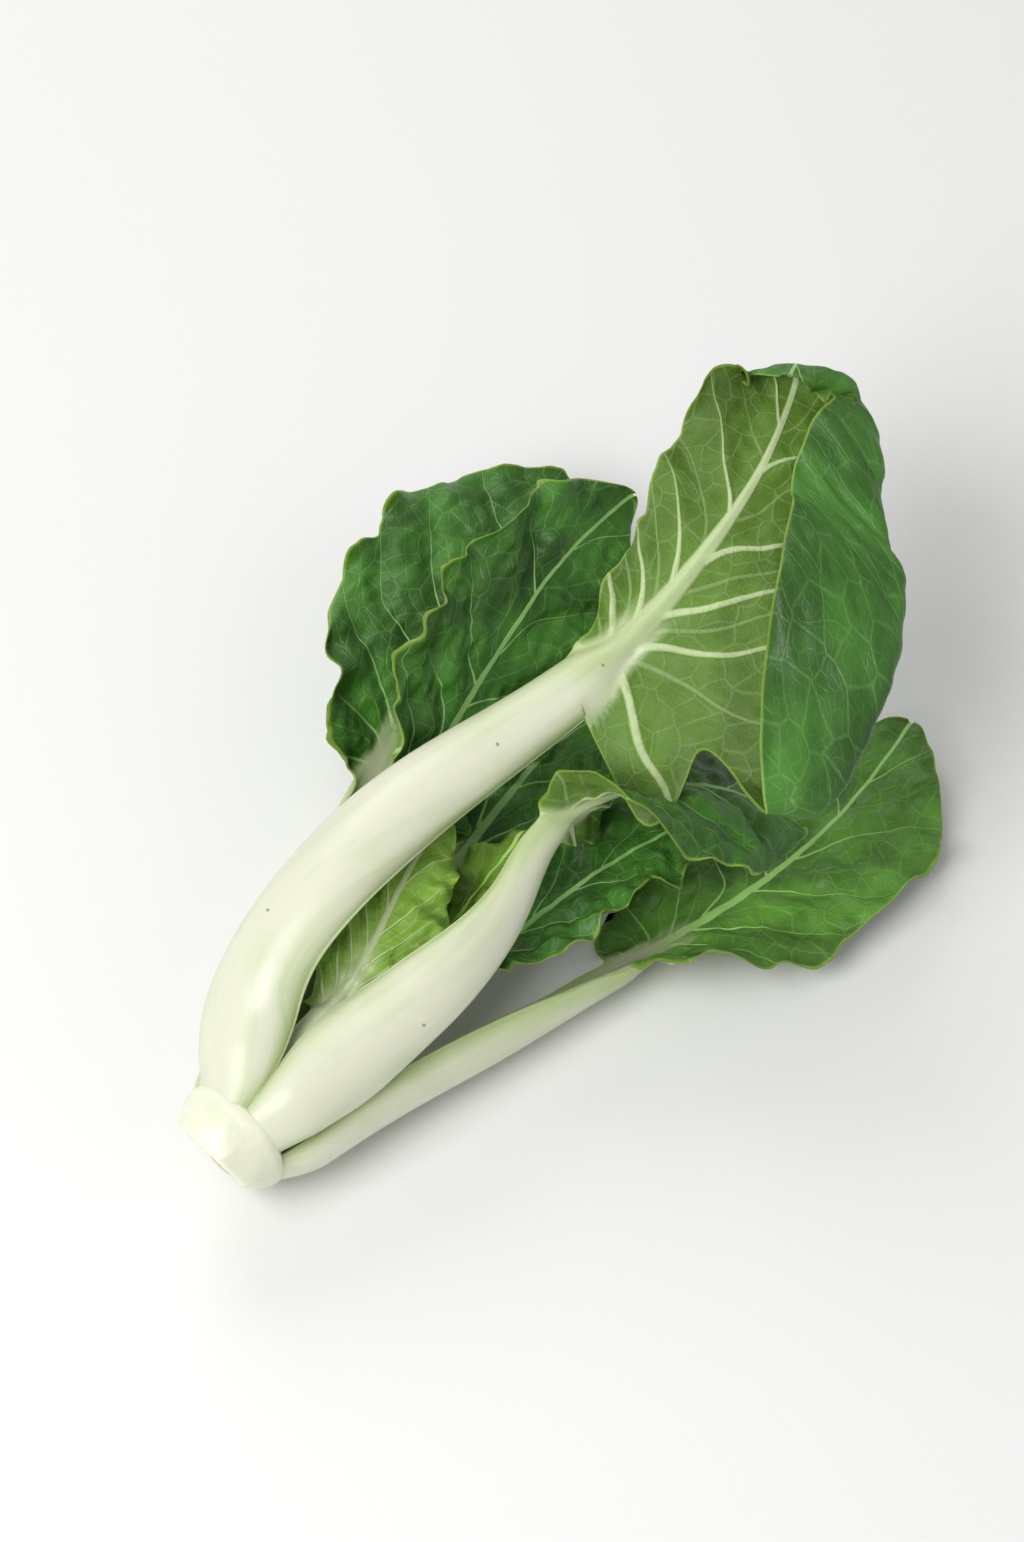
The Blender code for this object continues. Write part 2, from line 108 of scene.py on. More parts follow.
# The outline and the bumps of a blade: shares of the length, or spans in millimetres.
TIP_RUN = 0.1               # share over which the tip is rounded off
STALK_WINDOW, SWEEP_WINDOW, FOLD_WINDOW = 0.03, 0.016, 0.02    # over which these tables are rounded off
TOOTH_SPAN, TOOTH_MEAN = 6.5, 0.6     # from one tooth of the margin to the next, and their mean height
WAVE_SPAN, WAVE_TEETH = 25.0, 2.6     # length of the margin's waves, and their height in teeth
PUCKER_SPAN, DIMPLE_SPAN, FRILL_SPAN = 9.0, 4.2, 11.0    # about how far apart the random bumps are

# Rings of leaves around the stem: X and radius where the leaves start, and X and radius a little further on.
OUTER_RING = (-93.2, 9.8, -84.5, 12.4)
MIDDLE_RING = (-89.8, 5.6, -83.0, 6.4)
INNER_RING = (-85.0, 3.0, -79.0, 3.4)

# The side veins: see vein_phase. The last three are the right side's start, the warp and its span.
VEIN_SLANT, VEIN_FAN, VEIN_RISE = 1.1, 6.0, 0.004
VEIN_BEND, VEIN_NEAR = 3.0, 3.0
VEIN_CROWD = 6.0
SIDE_SHIFT, VEIN_WARP, WARP_SPAN = 0.4, 0.07, 26.0
WIDE_HALF = 24.0            # half-width of a blade whose veins fan out fully
FULL_REACH = 95.0           # length of a blade whose veins and bumps have their full size

# The bake map: sheets and turned grids fill its lower part, rims and ends a strip along the top.
SHEETS_UP, STRIP_UP = (0.01, 0.97), (0.98, 0.995)
LEFT_HALF, RIGHT_HALF, WHOLE_WIDTH = (0.01, 0.49), (0.51, 0.99), (0.01, 0.99)


# ---------------------------------------------------------------- sizes and colours that a user may change

def small_length(name, description, default, high, low=0.0):
    """Property for a length that is given in millimetres here."""
    return bpy.props.FloatProperty(name=name, description=description, default=default * MM, min=low * MM,
                                   max=high * MM, precision=5, unit="LENGTH", subtype="DISTANCE")


def colour_of(name, description, default):
    return bpy.props.FloatVectorProperty(name=name, description=description, default=default,
                                         min=0, max=1, size=3, subtype="COLOR")


class LeafSettings(bpy.types.PropertyGroup):
    """Sizes and colours of the leaves and the stem."""
    blade_thickness: small_length("Blade thickness", "Thickness of a blade between its veins", 0.6, 1.2, 0.3)
    vein_height: small_length("Vein height", "How far the side veins stand out of a leaf's back", 0.75, 1.5)
    bulge: small_length("Bulge", "How far a blade swells between its side veins", 1.1, 2.5)
    crinkle: small_length("Crinkle", "Height of a blade's small puckers", 0.3, 1.0)
    tooth: small_length("Margin teeth", "Depth of the round teeth along a blade's margin", 0.4, 2.0)
    upper_green: colour_of("Upper side", "Green of a grown leaf's upper side", (0.046, 0.146, 0.019))
    fresh_green: colour_of("Fresh upper side", "Green of the upper side of the low right leaf",
                           (0.088, 0.225, 0.028))
    under_green: colour_of("Back", "Green of a grown leaf's back", (0.081, 0.163, 0.017))
    young_green: colour_of("Young leaf", "Green of the young leaves in the heart", (0.172, 0.315, 0.035))
    stalk_white: colour_of("Stalk", "White of the stalks and the stem", (0.70, 0.715, 0.56))
    stalk_green: colour_of("Stalk's end", "Light green that a stalk turns towards its blade",
                           (0.44, 0.54, 0.25))
    vein_white: colour_of("Veins", "Pale green of the veins on a leaf's back", (0.50, 0.61, 0.32))
    margin_lime: colour_of("Margin", "Lime green of the thin line along a blade's margin",
                           (0.30, 0.46, 0.06))


class StageSettings(bpy.types.PropertyGroup):
    """The floor, the light and the camera."""
    azimuth: bpy.props.FloatProperty(
        name="Camera azimuth", description="Turn of the camera around the head",
        default=np.radians(-50), unit="ROTATION", subtype="ANGLE")
    elevation: bpy.props.FloatProperty(
        name="Camera elevation", description="How far the camera looks down",
        default=np.radians(55), unit="ROTATION", subtype="ANGLE")
    distance: bpy.props.FloatProperty(
        name="Camera distance", description="From the camera to the middle of the head",
        default=1.1, min=0.3, unit="LENGTH", subtype="DISTANCE")
    lens: bpy.props.FloatProperty(
        name="Lens", description="Focal length in millimetres", default=124.0, min=20)
    floor_colour: colour_of("Floor", "Colour of the floor", (0.82, 0.82, 0.81))


# ---------------------------------------------------------------- the leaves

def inward(angle):
    """Direction from the given angle around the stem (0 is up, 90 is -Y) towards its centre line."""
    turn = np.radians(angle)
    return (0.0, np.sin(turn), -np.cos(turn))


def around_stem(x, radius, angle):
    """Point at a radius and angle around the stem's centre line."""
    turn = np.radians(angle)
    return (x, -radius * np.sin(turn), AXIS_HEIGHT + radius * np.cos(turn))


def oval_wing(joint, left, right, tip=-6.0, back=-8.0, rise=0.5, fall=0.42):
    """Rows of an oval blade: fraction along the leaf, half-widths left and right, sweep of the margin.

    The half-width goes as t^rise * (1 - t)^fall from the joint to the tip, scaled to its widest place.
    """
    widest = rise / (rise + fall)
    peak = widest**rise * (1 - widest)**fall
    rows = [(0.0, 0.0, 0.0, 0.0)]
    for t in (0.0, 0.06, 0.15, 0.3, 0.5, 0.7, 0.85, 0.95, 1.0):
        width = t**rise * (1 - t)**fall / peak
        if t > 0.9:
            width = max(width, 0.5)
        sweep = back * (1 - t)**2 * min(1.0, 12 * t) + tip * t**4
        rows.append((joint + t * (1 - joint), left * width, right * width, sweep))
    return rows


@dataclass
class Leaf:
    """One leaf, from its foot on the stem to its tip. Left and right are seen from its upper face."""
    name: str
    ring: tuple          # the ring it grows from
    angle: float         # its place around the stem
    path: list           # points of the midrib's upper side beyond the ring, then the way its face looks
    joint: float         # fraction of the length where the stalk becomes the blade
    stalk: list          # fraction along, half-width of the stalk
    wing: list           # fraction along, half-widths left and right, sweep of the margin
    curl: list           # fraction along, bend towards the upper face at the left and right margins
    ruffle: tuple        # height, waves and phase of the margin's ripple
    veins: int           # side veins on each side
    fold: tuple = ()     # rows of fraction along, angle, place on the left half; one fold at most
    fold_run: float = 7.0     # millimetres over which the fold turns
    wing_window: float = 0.025    # share of the length over which the outline's corners are rounded
    crinkled: float = 1.0     # how much more than usual the blade bulges and puckers; squared, its teeth


def stations(table):
    """Columns of a table of rows, each as an array."""
    return [np.array(column, float) for column in zip(*table)]


def eased(at, values, where, window=0.04):
    """Straight lines through the values, rounded off by averaging over a short window."""
    offsets = np.linspace(-window, window, 21)
    return np.mean([np.interp(where + offset, at, values) for offset in offsets], axis=0)


def smoothstep(t):
    """0 below 0, 1 above 1, and 3t^2 - 2t^3 between."""
    t = np.clip(t, 0.0, 1.0)
    return t * t * (3 - 2 * t)


def ripples(x, y, wavelength, seed):
    """Smooth random field: sixteen sines of random heading, of about the wavelength, added up."""
    draw = np.random.default_rng(seed)
    heading, phase = draw.uniform(0, 2 * np.pi, (2, 16))
    pace = 2 * np.pi / (wavelength * draw.uniform(0.7, 1.4, 16))
    return sum(np.sin(pace[k] * (x * np.cos(heading[k]) + y * np.sin(heading[k])) + phase[k])
               for k in range(16)) / np.sqrt(8)


def spline(knots, values, at):
    """Natural cubic spline through the values at the knots."""
    count = len(knots)
    gap = np.diff(knots)
    slope = np.diff(values, axis=0) / gap[:, None]
    system = np.eye(count)
    target = np.zeros_like(values)
    for i in range(1, count - 1):
        system[i, i - 1:i + 2] = gap[i - 1], 2 * (gap[i - 1] + gap[i]), gap[i]
        target[i] = 6 * (slope[i] - slope[i - 1])
    bend = np.linalg.solve(system, target)
    i = np.clip(np.searchsorted(knots, at) - 1, 0, count - 2)
    step = (at - knots[i])[:, None]
    run = gap[i][:, None]
    return (values[i] + step * (slope[i] - run * (2 * bend[i] + bend[i + 1]) / 6)
            + step**2 * bend[i] / 2 + step**3 * (bend[i + 1] - bend[i]) / (6 * run))


def unit(vectors):
    return vectors / np.linalg.norm(vectors, axis=-1, keepdims=True)


class Midrib:
    """A leaf's middle line, evenly spaced, with its tangent, the way its face looks, and their cross."""

    def __init__(self, leaf):
        start_x, start_radius, next_x, next_radius = leaf.ring
        foot = [around_stem(start_x, start_radius, leaf.angle), around_stem(next_x, next_radius, leaf.angle)]
        points = np.array(foot + [row[:3] for row in leaf.path], float)
        faces = np.array([inward(leaf.angle)] * 2 + [row[3:] for row in leaf.path], float)
        knots = np.concatenate([[0], np.cumsum(np.linalg.norm(np.diff(points, axis=0), axis=1))])
        line = spline(knots, points, np.linspace(0, knots[-1], MIDRIB_STEPS))
        along = np.concatenate([[0], np.cumsum(np.linalg.norm(np.diff(line, axis=0), axis=1))])
        self.length = along[-1]
        self.distance = np.linspace(0, self.length, MIDRIB_STEPS)
        self.line = np.stack([np.interp(self.distance, along, line[:, k]) for k in range(3)], 1)
        share = self.distance / self.length
        looks = np.stack([eased(knots / knots[-1], unit(faces)[:, k], share, 0.05) for k in range(3)], 1)
        self.tangent = unit(np.gradient(self.line, axis=0))
        self.normal = unit(looks - (looks * self.tangent).sum(1)[:, None] * self.tangent)
        self.across = np.cross(self.tangent, self.normal)

    def at(self, distance):
        """Point, normal and across direction; straight on past either end."""
        inside = np.clip(distance, 0, self.length)

        def read(table):
            return np.stack([np.interp(inside, self.distance, table[:, k]) for k in range(3)], -1)

        point = read(self.line) + (distance - inside)[..., None] * read(self.tangent)
        return point, read(self.normal), read(self.across)


def stalk_half_width(leaf, share):
    return eased(*stations(leaf.stalk), share, STALK_WINDOW)


def rib_half_width(leaf, share):
    """The stalk's half-width up to the joint, soon much slimmer, then shrinking as (1 - t)^1.6."""
    t = np.clip((share - leaf.joint) / (1 - leaf.joint), 0, 1)
    slim = 1 - 0.38 * smoothstep(t / 0.1 + 0.2)
    return stalk_half_width(leaf, share) * slim * (1 - t)**1.6 + 0.7 * t + 0.02


def vein_phase(leaf, x, y, on_right, reach, widest):
    """Which side vein a point of the flat blade lies on: whole numbers are on a vein.

    x is the distance from the rib's edge and y the distance past the joint. The vein that leaves the rib
    at s runs through y = s + (slant - fan / s) x + rise x^2 + bend (1 - exp(-x / near)): those from the
    joint fan out backwards, more so in a wide half, and those further on slant forwards, more so in a
    narrow half. Solved for s, the phase grows with log(1 + s / crowd), starts a part of a vein further on
    in the right side, and is a little warped.
    """
    wide = np.minimum(widest / WIDE_HALF, 1)
    fan = VEIN_FAN * wide**2
    ahead = y - VEIN_SLANT * (1.8 - 0.8 * wide) * x - VEIN_RISE * x**2
    ahead = ahead - VEIN_BEND * (1 - np.exp(-x / VEIN_NEAR))
    start = (ahead + np.sqrt(ahead**2 + 4 * fan * x + 0.01)) / 2
    phase = leaf.veins * np.log1p(start / VEIN_CROWD) / np.log1p(reach / VEIN_CROWD)
    warp = VEIN_WARP * ripples(x * np.where(on_right, 1, -1), y, WARP_SPAN, leaf.veins)
    return phase + SIDE_SHIFT * on_right + warp


def nearest_vein(leaf, x, y, on_right, reach, widest):
    """The veins' phase at a point, its slope per millimetre, and how far away the nearest vein is."""
    def phase_at(out, on):
        return vein_phase(leaf, x + out, y + on, on_right, reach, widest)

    phase = phase_at(0, 0)
    slope = np.maximum(np.hypot(phase_at(NUDGE, 0) - phase, phase_at(0, NUDGE) - phase) / NUDGE, 1e-3)
    return phase, slope, np.abs(phase + 0.5 - np.floor(phase + 0.5) - 0.5) / slope


def margin_teeth(share, length, turn):
    """How far a margin stands out at each row, in teeth.

    |sin(pi s / tooth span + w)| less its mean, plus waves of sin(2 pi s / wave span + w), where s is the
    distance along the leaf and w, the sum of two slow sines, makes both uneven.
    """
    first, second = turn
    wander = 1.2 * np.sin(share * 23 + first) + 0.8 * np.sin(share * 41 + second)
    waves = np.sin(2 * np.pi * share * length / WAVE_SPAN + wander)
    return np.abs(np.sin(np.pi * share * length / TOOTH_SPAN + wander)) - TOOTH_MEAN + WAVE_TEETH * waves


def bent_rows(leaf, u, half, off_rib, share, along, on_right):
    """How far across and how far up each point of a row comes by bending, and the row's last angle there.

    The angle at a part p of the way out is curl * p^power, plus the fold's turn times a smooth step at
    the fold's place; the power grows from 1 to 1.35 past the joint. The cosines and sines are summed.
    """
    curl_at, curl_left, curl_right = stations(leaf.curl)
    curl = np.where(on_right, eased(curl_at, curl_right, along), eased(curl_at, curl_left, along))
    part = np.abs(u)[..., None] * (np.arange(CROSS_STEPS) + 0.5) / CROSS_STEPS
    power = 1 + 0.35 * smoothstep((along - leaf.joint) / 0.15)
    angle = np.radians(curl)[..., None] * part**power[..., None]
    if leaf.fold:
        fold_at, fold_angle, fold_place = stations(leaf.fold)
        turned = np.where(on_right, 0, np.radians(eased(fold_at, fold_angle, share, FOLD_WINDOW))[:, None])
        beyond = (part - eased(fold_at, fold_place, share, FOLD_WINDOW)[:, None, None]) * half[..., None]
        angle = angle + turned[..., None] * smoothstep(beyond / leaf.fold_run + 0.5)
    step = (off_rib / CROSS_STEPS)[..., None]
    return (np.cos(angle) * step).sum(-1) * np.sign(u), (np.sin(angle) * step).sum(-1), angle[..., -1]


def leaf_sheets(leaf, rows, columns, sizes):
    """Upper and lower sheets of a leaf as grids of points, and the material's marks at each point of both.

    The flat outline is u times the half-width across and a row along, which the sweep bends as the square
    of the distance from the midrib; teeth and waves push it out as u^6, so at the margin only. Each row is
    then bent: see bent_rows. The blade is then lifted along its face by what swells between the side
    veins, by smooth random puckers and by ripples that grow towards the margin. The lower sheet is one
    thickness below, thick at the rib and, less so, along each side vein.
    """
    seed = sum(map(ord, leaf.name))
    k = np.linspace(0, 1, rows)
    share = LAST_ROW * (1 - (1 - k)**ROW_CROWD)
    u = np.linspace(-1, 1, columns)[None, :]
    on_right = np.broadcast_to(u > 0, (rows, columns))
    midrib = Midrib(leaf)
    length = midrib.length
    reach = (1 - leaf.joint) * length
    scale = np.sqrt(reach / FULL_REACH)

    wing_at, wing_left, wing_right, sweep = stations(leaf.wing)
    stalk = stalk_half_width(leaf, share) * (1 - smoothstep((share - leaf.joint) / 0.12))
    tip = np.clip((1 - share) / TIP_RUN, 0, 1)
    rounding = np.sqrt(tip * (2 - tip))
    left = np.hypot(stalk, eased(wing_at, wing_left, share, leaf.wing_window) * rounding)
    right = np.hypot(stalk, eased(wing_at, wing_right, share, leaf.wing_window) * rounding)
    half = np.where(on_right, right[:, None], left[:, None])
    tooth = sizes.tooth / MM * leaf.crinkled**2 * smoothstep((share - leaf.joint) / 0.06) * rounding
    left_teeth, right_teeth = (tooth * margin_teeth(share, length, (turn + seed, 2 * turn))
                               for turn in (0.0, 1.3))
    teeth = np.where(on_right, right_teeth[:, None], left_teeth[:, None])
    flat_x = u * (half + teeth * np.abs(u)**6)
    swept = (flat_x * (rounding / np.maximum(left, right))[:, None])**2
    flat_y = share[:, None] * length + eased(wing_at, sweep, share, SWEEP_WINDOW)[:, None] * swept
    along = np.clip(flat_y / length, 0, 1)
    in_blade = along - leaf.joint
    off_rib = np.abs(flat_x)

    bent = bent_rows(leaf, u, half, off_rib, share, along, on_right)
    run, lift, last = (field[..., None] for field in bent)
    point, normal, across = midrib.at(flat_y)
    upper = point + run * across + lift * normal
    facing = np.cos(last) * normal - np.sign(u)[..., None] * np.sin(last) * across
    out = unit(np.cross(np.gradient(upper, axis=0), np.gradient(upper, axis=1)))
    out *= np.where((out * facing).sum(-1, keepdims=True) < 0, -1, 1)

    # Side veins: how far the nearest one is, in millimetres, and how wide it is there.
    past_joint = flat_y - leaf.joint * length
    rib = rib_half_width(leaf, along)
    beyond_rib = np.maximum(off_rib - 0.8 * rib, 0)
    widest = np.where(on_right, wing_right.max(), wing_left.max())
    phase, slope, off_vein = nearest_vein(leaf, beyond_rib, past_joint, on_right, reach, widest)
    towards_tip = np.clip(past_joint / reach, 0, 1)
    near_rib = np.exp(-beyond_rib / (0.5 * np.minimum(widest, 2 * WIDE_HALF)))
    vein = scale * (1.15 - 0.85 * np.sqrt(towards_tip)) * (0.2 + near_rib * np.minimum(widest / WIDE_HALF, 1))

    # Where the blade is green, and how far it is lifted.
    green = np.maximum(smoothstep((in_blade * length + 14 * np.abs(u)**3 - 6) / 16),
                       smoothstep((off_rib - 0.95 * rib) / 3) * smoothstep(past_joint / 8 + 4))
    blade = np.maximum(smoothstep(in_blade / 0.09), green)
    off_margin = (1 - np.abs(u)) * half
    height, waves, turn = leaf.ruffle
    ripple = height * np.abs(u)**2.5 * np.sin(2 * np.pi * waves * along + turn + 1.7 * on_right)
    ripple = ripple * smoothstep(in_blade / 0.12)
    swell = sizes.bulge / MM * (1 - np.exp(-(off_vein / (2.6 * scale))**2)) - 0.5 * sizes.bulge / MM
    clear = smoothstep((off_rib - 0.6 * rib) / 5)
    swell = swell * clear * (0.35 + 0.65 * np.clip(off_margin / 6, 0, 1))
    pucker = sizes.crinkle / MM * (ripples(flat_x, flat_y, PUCKER_SPAN * scale, seed)
                                   + 0.4 * ripples(flat_x, flat_y, DIMPLE_SPAN * scale, seed + 1))
    frill = 0.9 * np.exp(-off_margin / 4) * ripples(flat_x, flat_y, FRILL_SPAN * scale, seed + 2)
    puckers = (swell + pucker * (0.3 + 0.7 * clear) + frill) * blade
    upper = upper + facing * (ripple + leaf.crinkled * puckers)[..., None]

    # The thickness, and the sheet below.
    fullness = 0.75 + 1.2 * smoothstep((in_blade + 0.05) / 0.2)
    rib_height = (RIB_BASE + RIB_SLOPE * rib) * smoothstep(rib / 3)
    rib_height *= smoothstep(along * length / FOOT_RUN + 0.15)
    crown = np.clip(1 - (flat_x / rib)**2, 0, 1)**fullness
    thin = sizes.blade_thickness / MM
    sheet = STALK_EDGE + (thin - STALK_EDGE) * smoothstep((in_blade + 0.02) / 0.08)
    ridge = sizes.vein_height / MM * (vein / scale) * np.clip(1 - (off_vein / vein)**2, 0, 1) * blade
    thickness = sheet * (1 - 0.4 * np.abs(u)**8) + np.maximum(rib_height * crown, ridge)
    lower = upper - out * thickness[..., None]

    ripe = smoothstep(0.5 + in_blade / 0.6) + 0.85 * np.abs(u)**3
    alike = {"vein": phase, "blade": green, "pale": near_rib, "ripe": ripe, "margin": off_margin}
    marks = {mark: (field, field) for mark, field in alike.items()}
    marks["vein_half"] = (0.42 * vein * slope, vein * slope)
    marks["rib"] = (1.5 * off_rib / rib, off_rib / rib)
    marks["back"] = (0 * phase, 0 * phase + 1)
    flat = np.stack([flat_x, flat_y], -1) / PATTERN_SPAN
    return upper, lower, marks, flat


# What the leaves of a ring share.
OUTER_CURL = [(0, 38, 38), (0.15, 46, 46), (0.35, 40, 40), (0.55, 20, 20)]
SIDE_STALK = [(0, 4.9), (0.07, 6.2), (0.16, 7.5), (0.35, 7.5), (0.5, 5), (0.7, 4), (1, 2)]
MIDDLE_CURL = [(0, 38, 38), (0.2, 44, 44), (0.45, 30, 30), (0.6, 10, 10)]
MIDDLE = {"joint": 0.42, "stalk": [(0, 3.6), (0.1, 4.5), (0.3, 5.2), (0.42, 4.2), (0.7, 3), (1, 1.5)]}
INNER = {"joint": 0.4, "stalk": [(0, 2.0), (0.2, 2.6), (0.5, 2.4), (1, 1)],
         "wing": oval_wing(0.4, 9, 9, tip=-2, back=-2),
         "curl": [(0, 40, 40), (0.4, 45, 45), (0.6, 35, 35), (1, 25, 25)],
         "ruffle": (1.0, 6, 0), "veins": 5, "crinkled": 1.2}

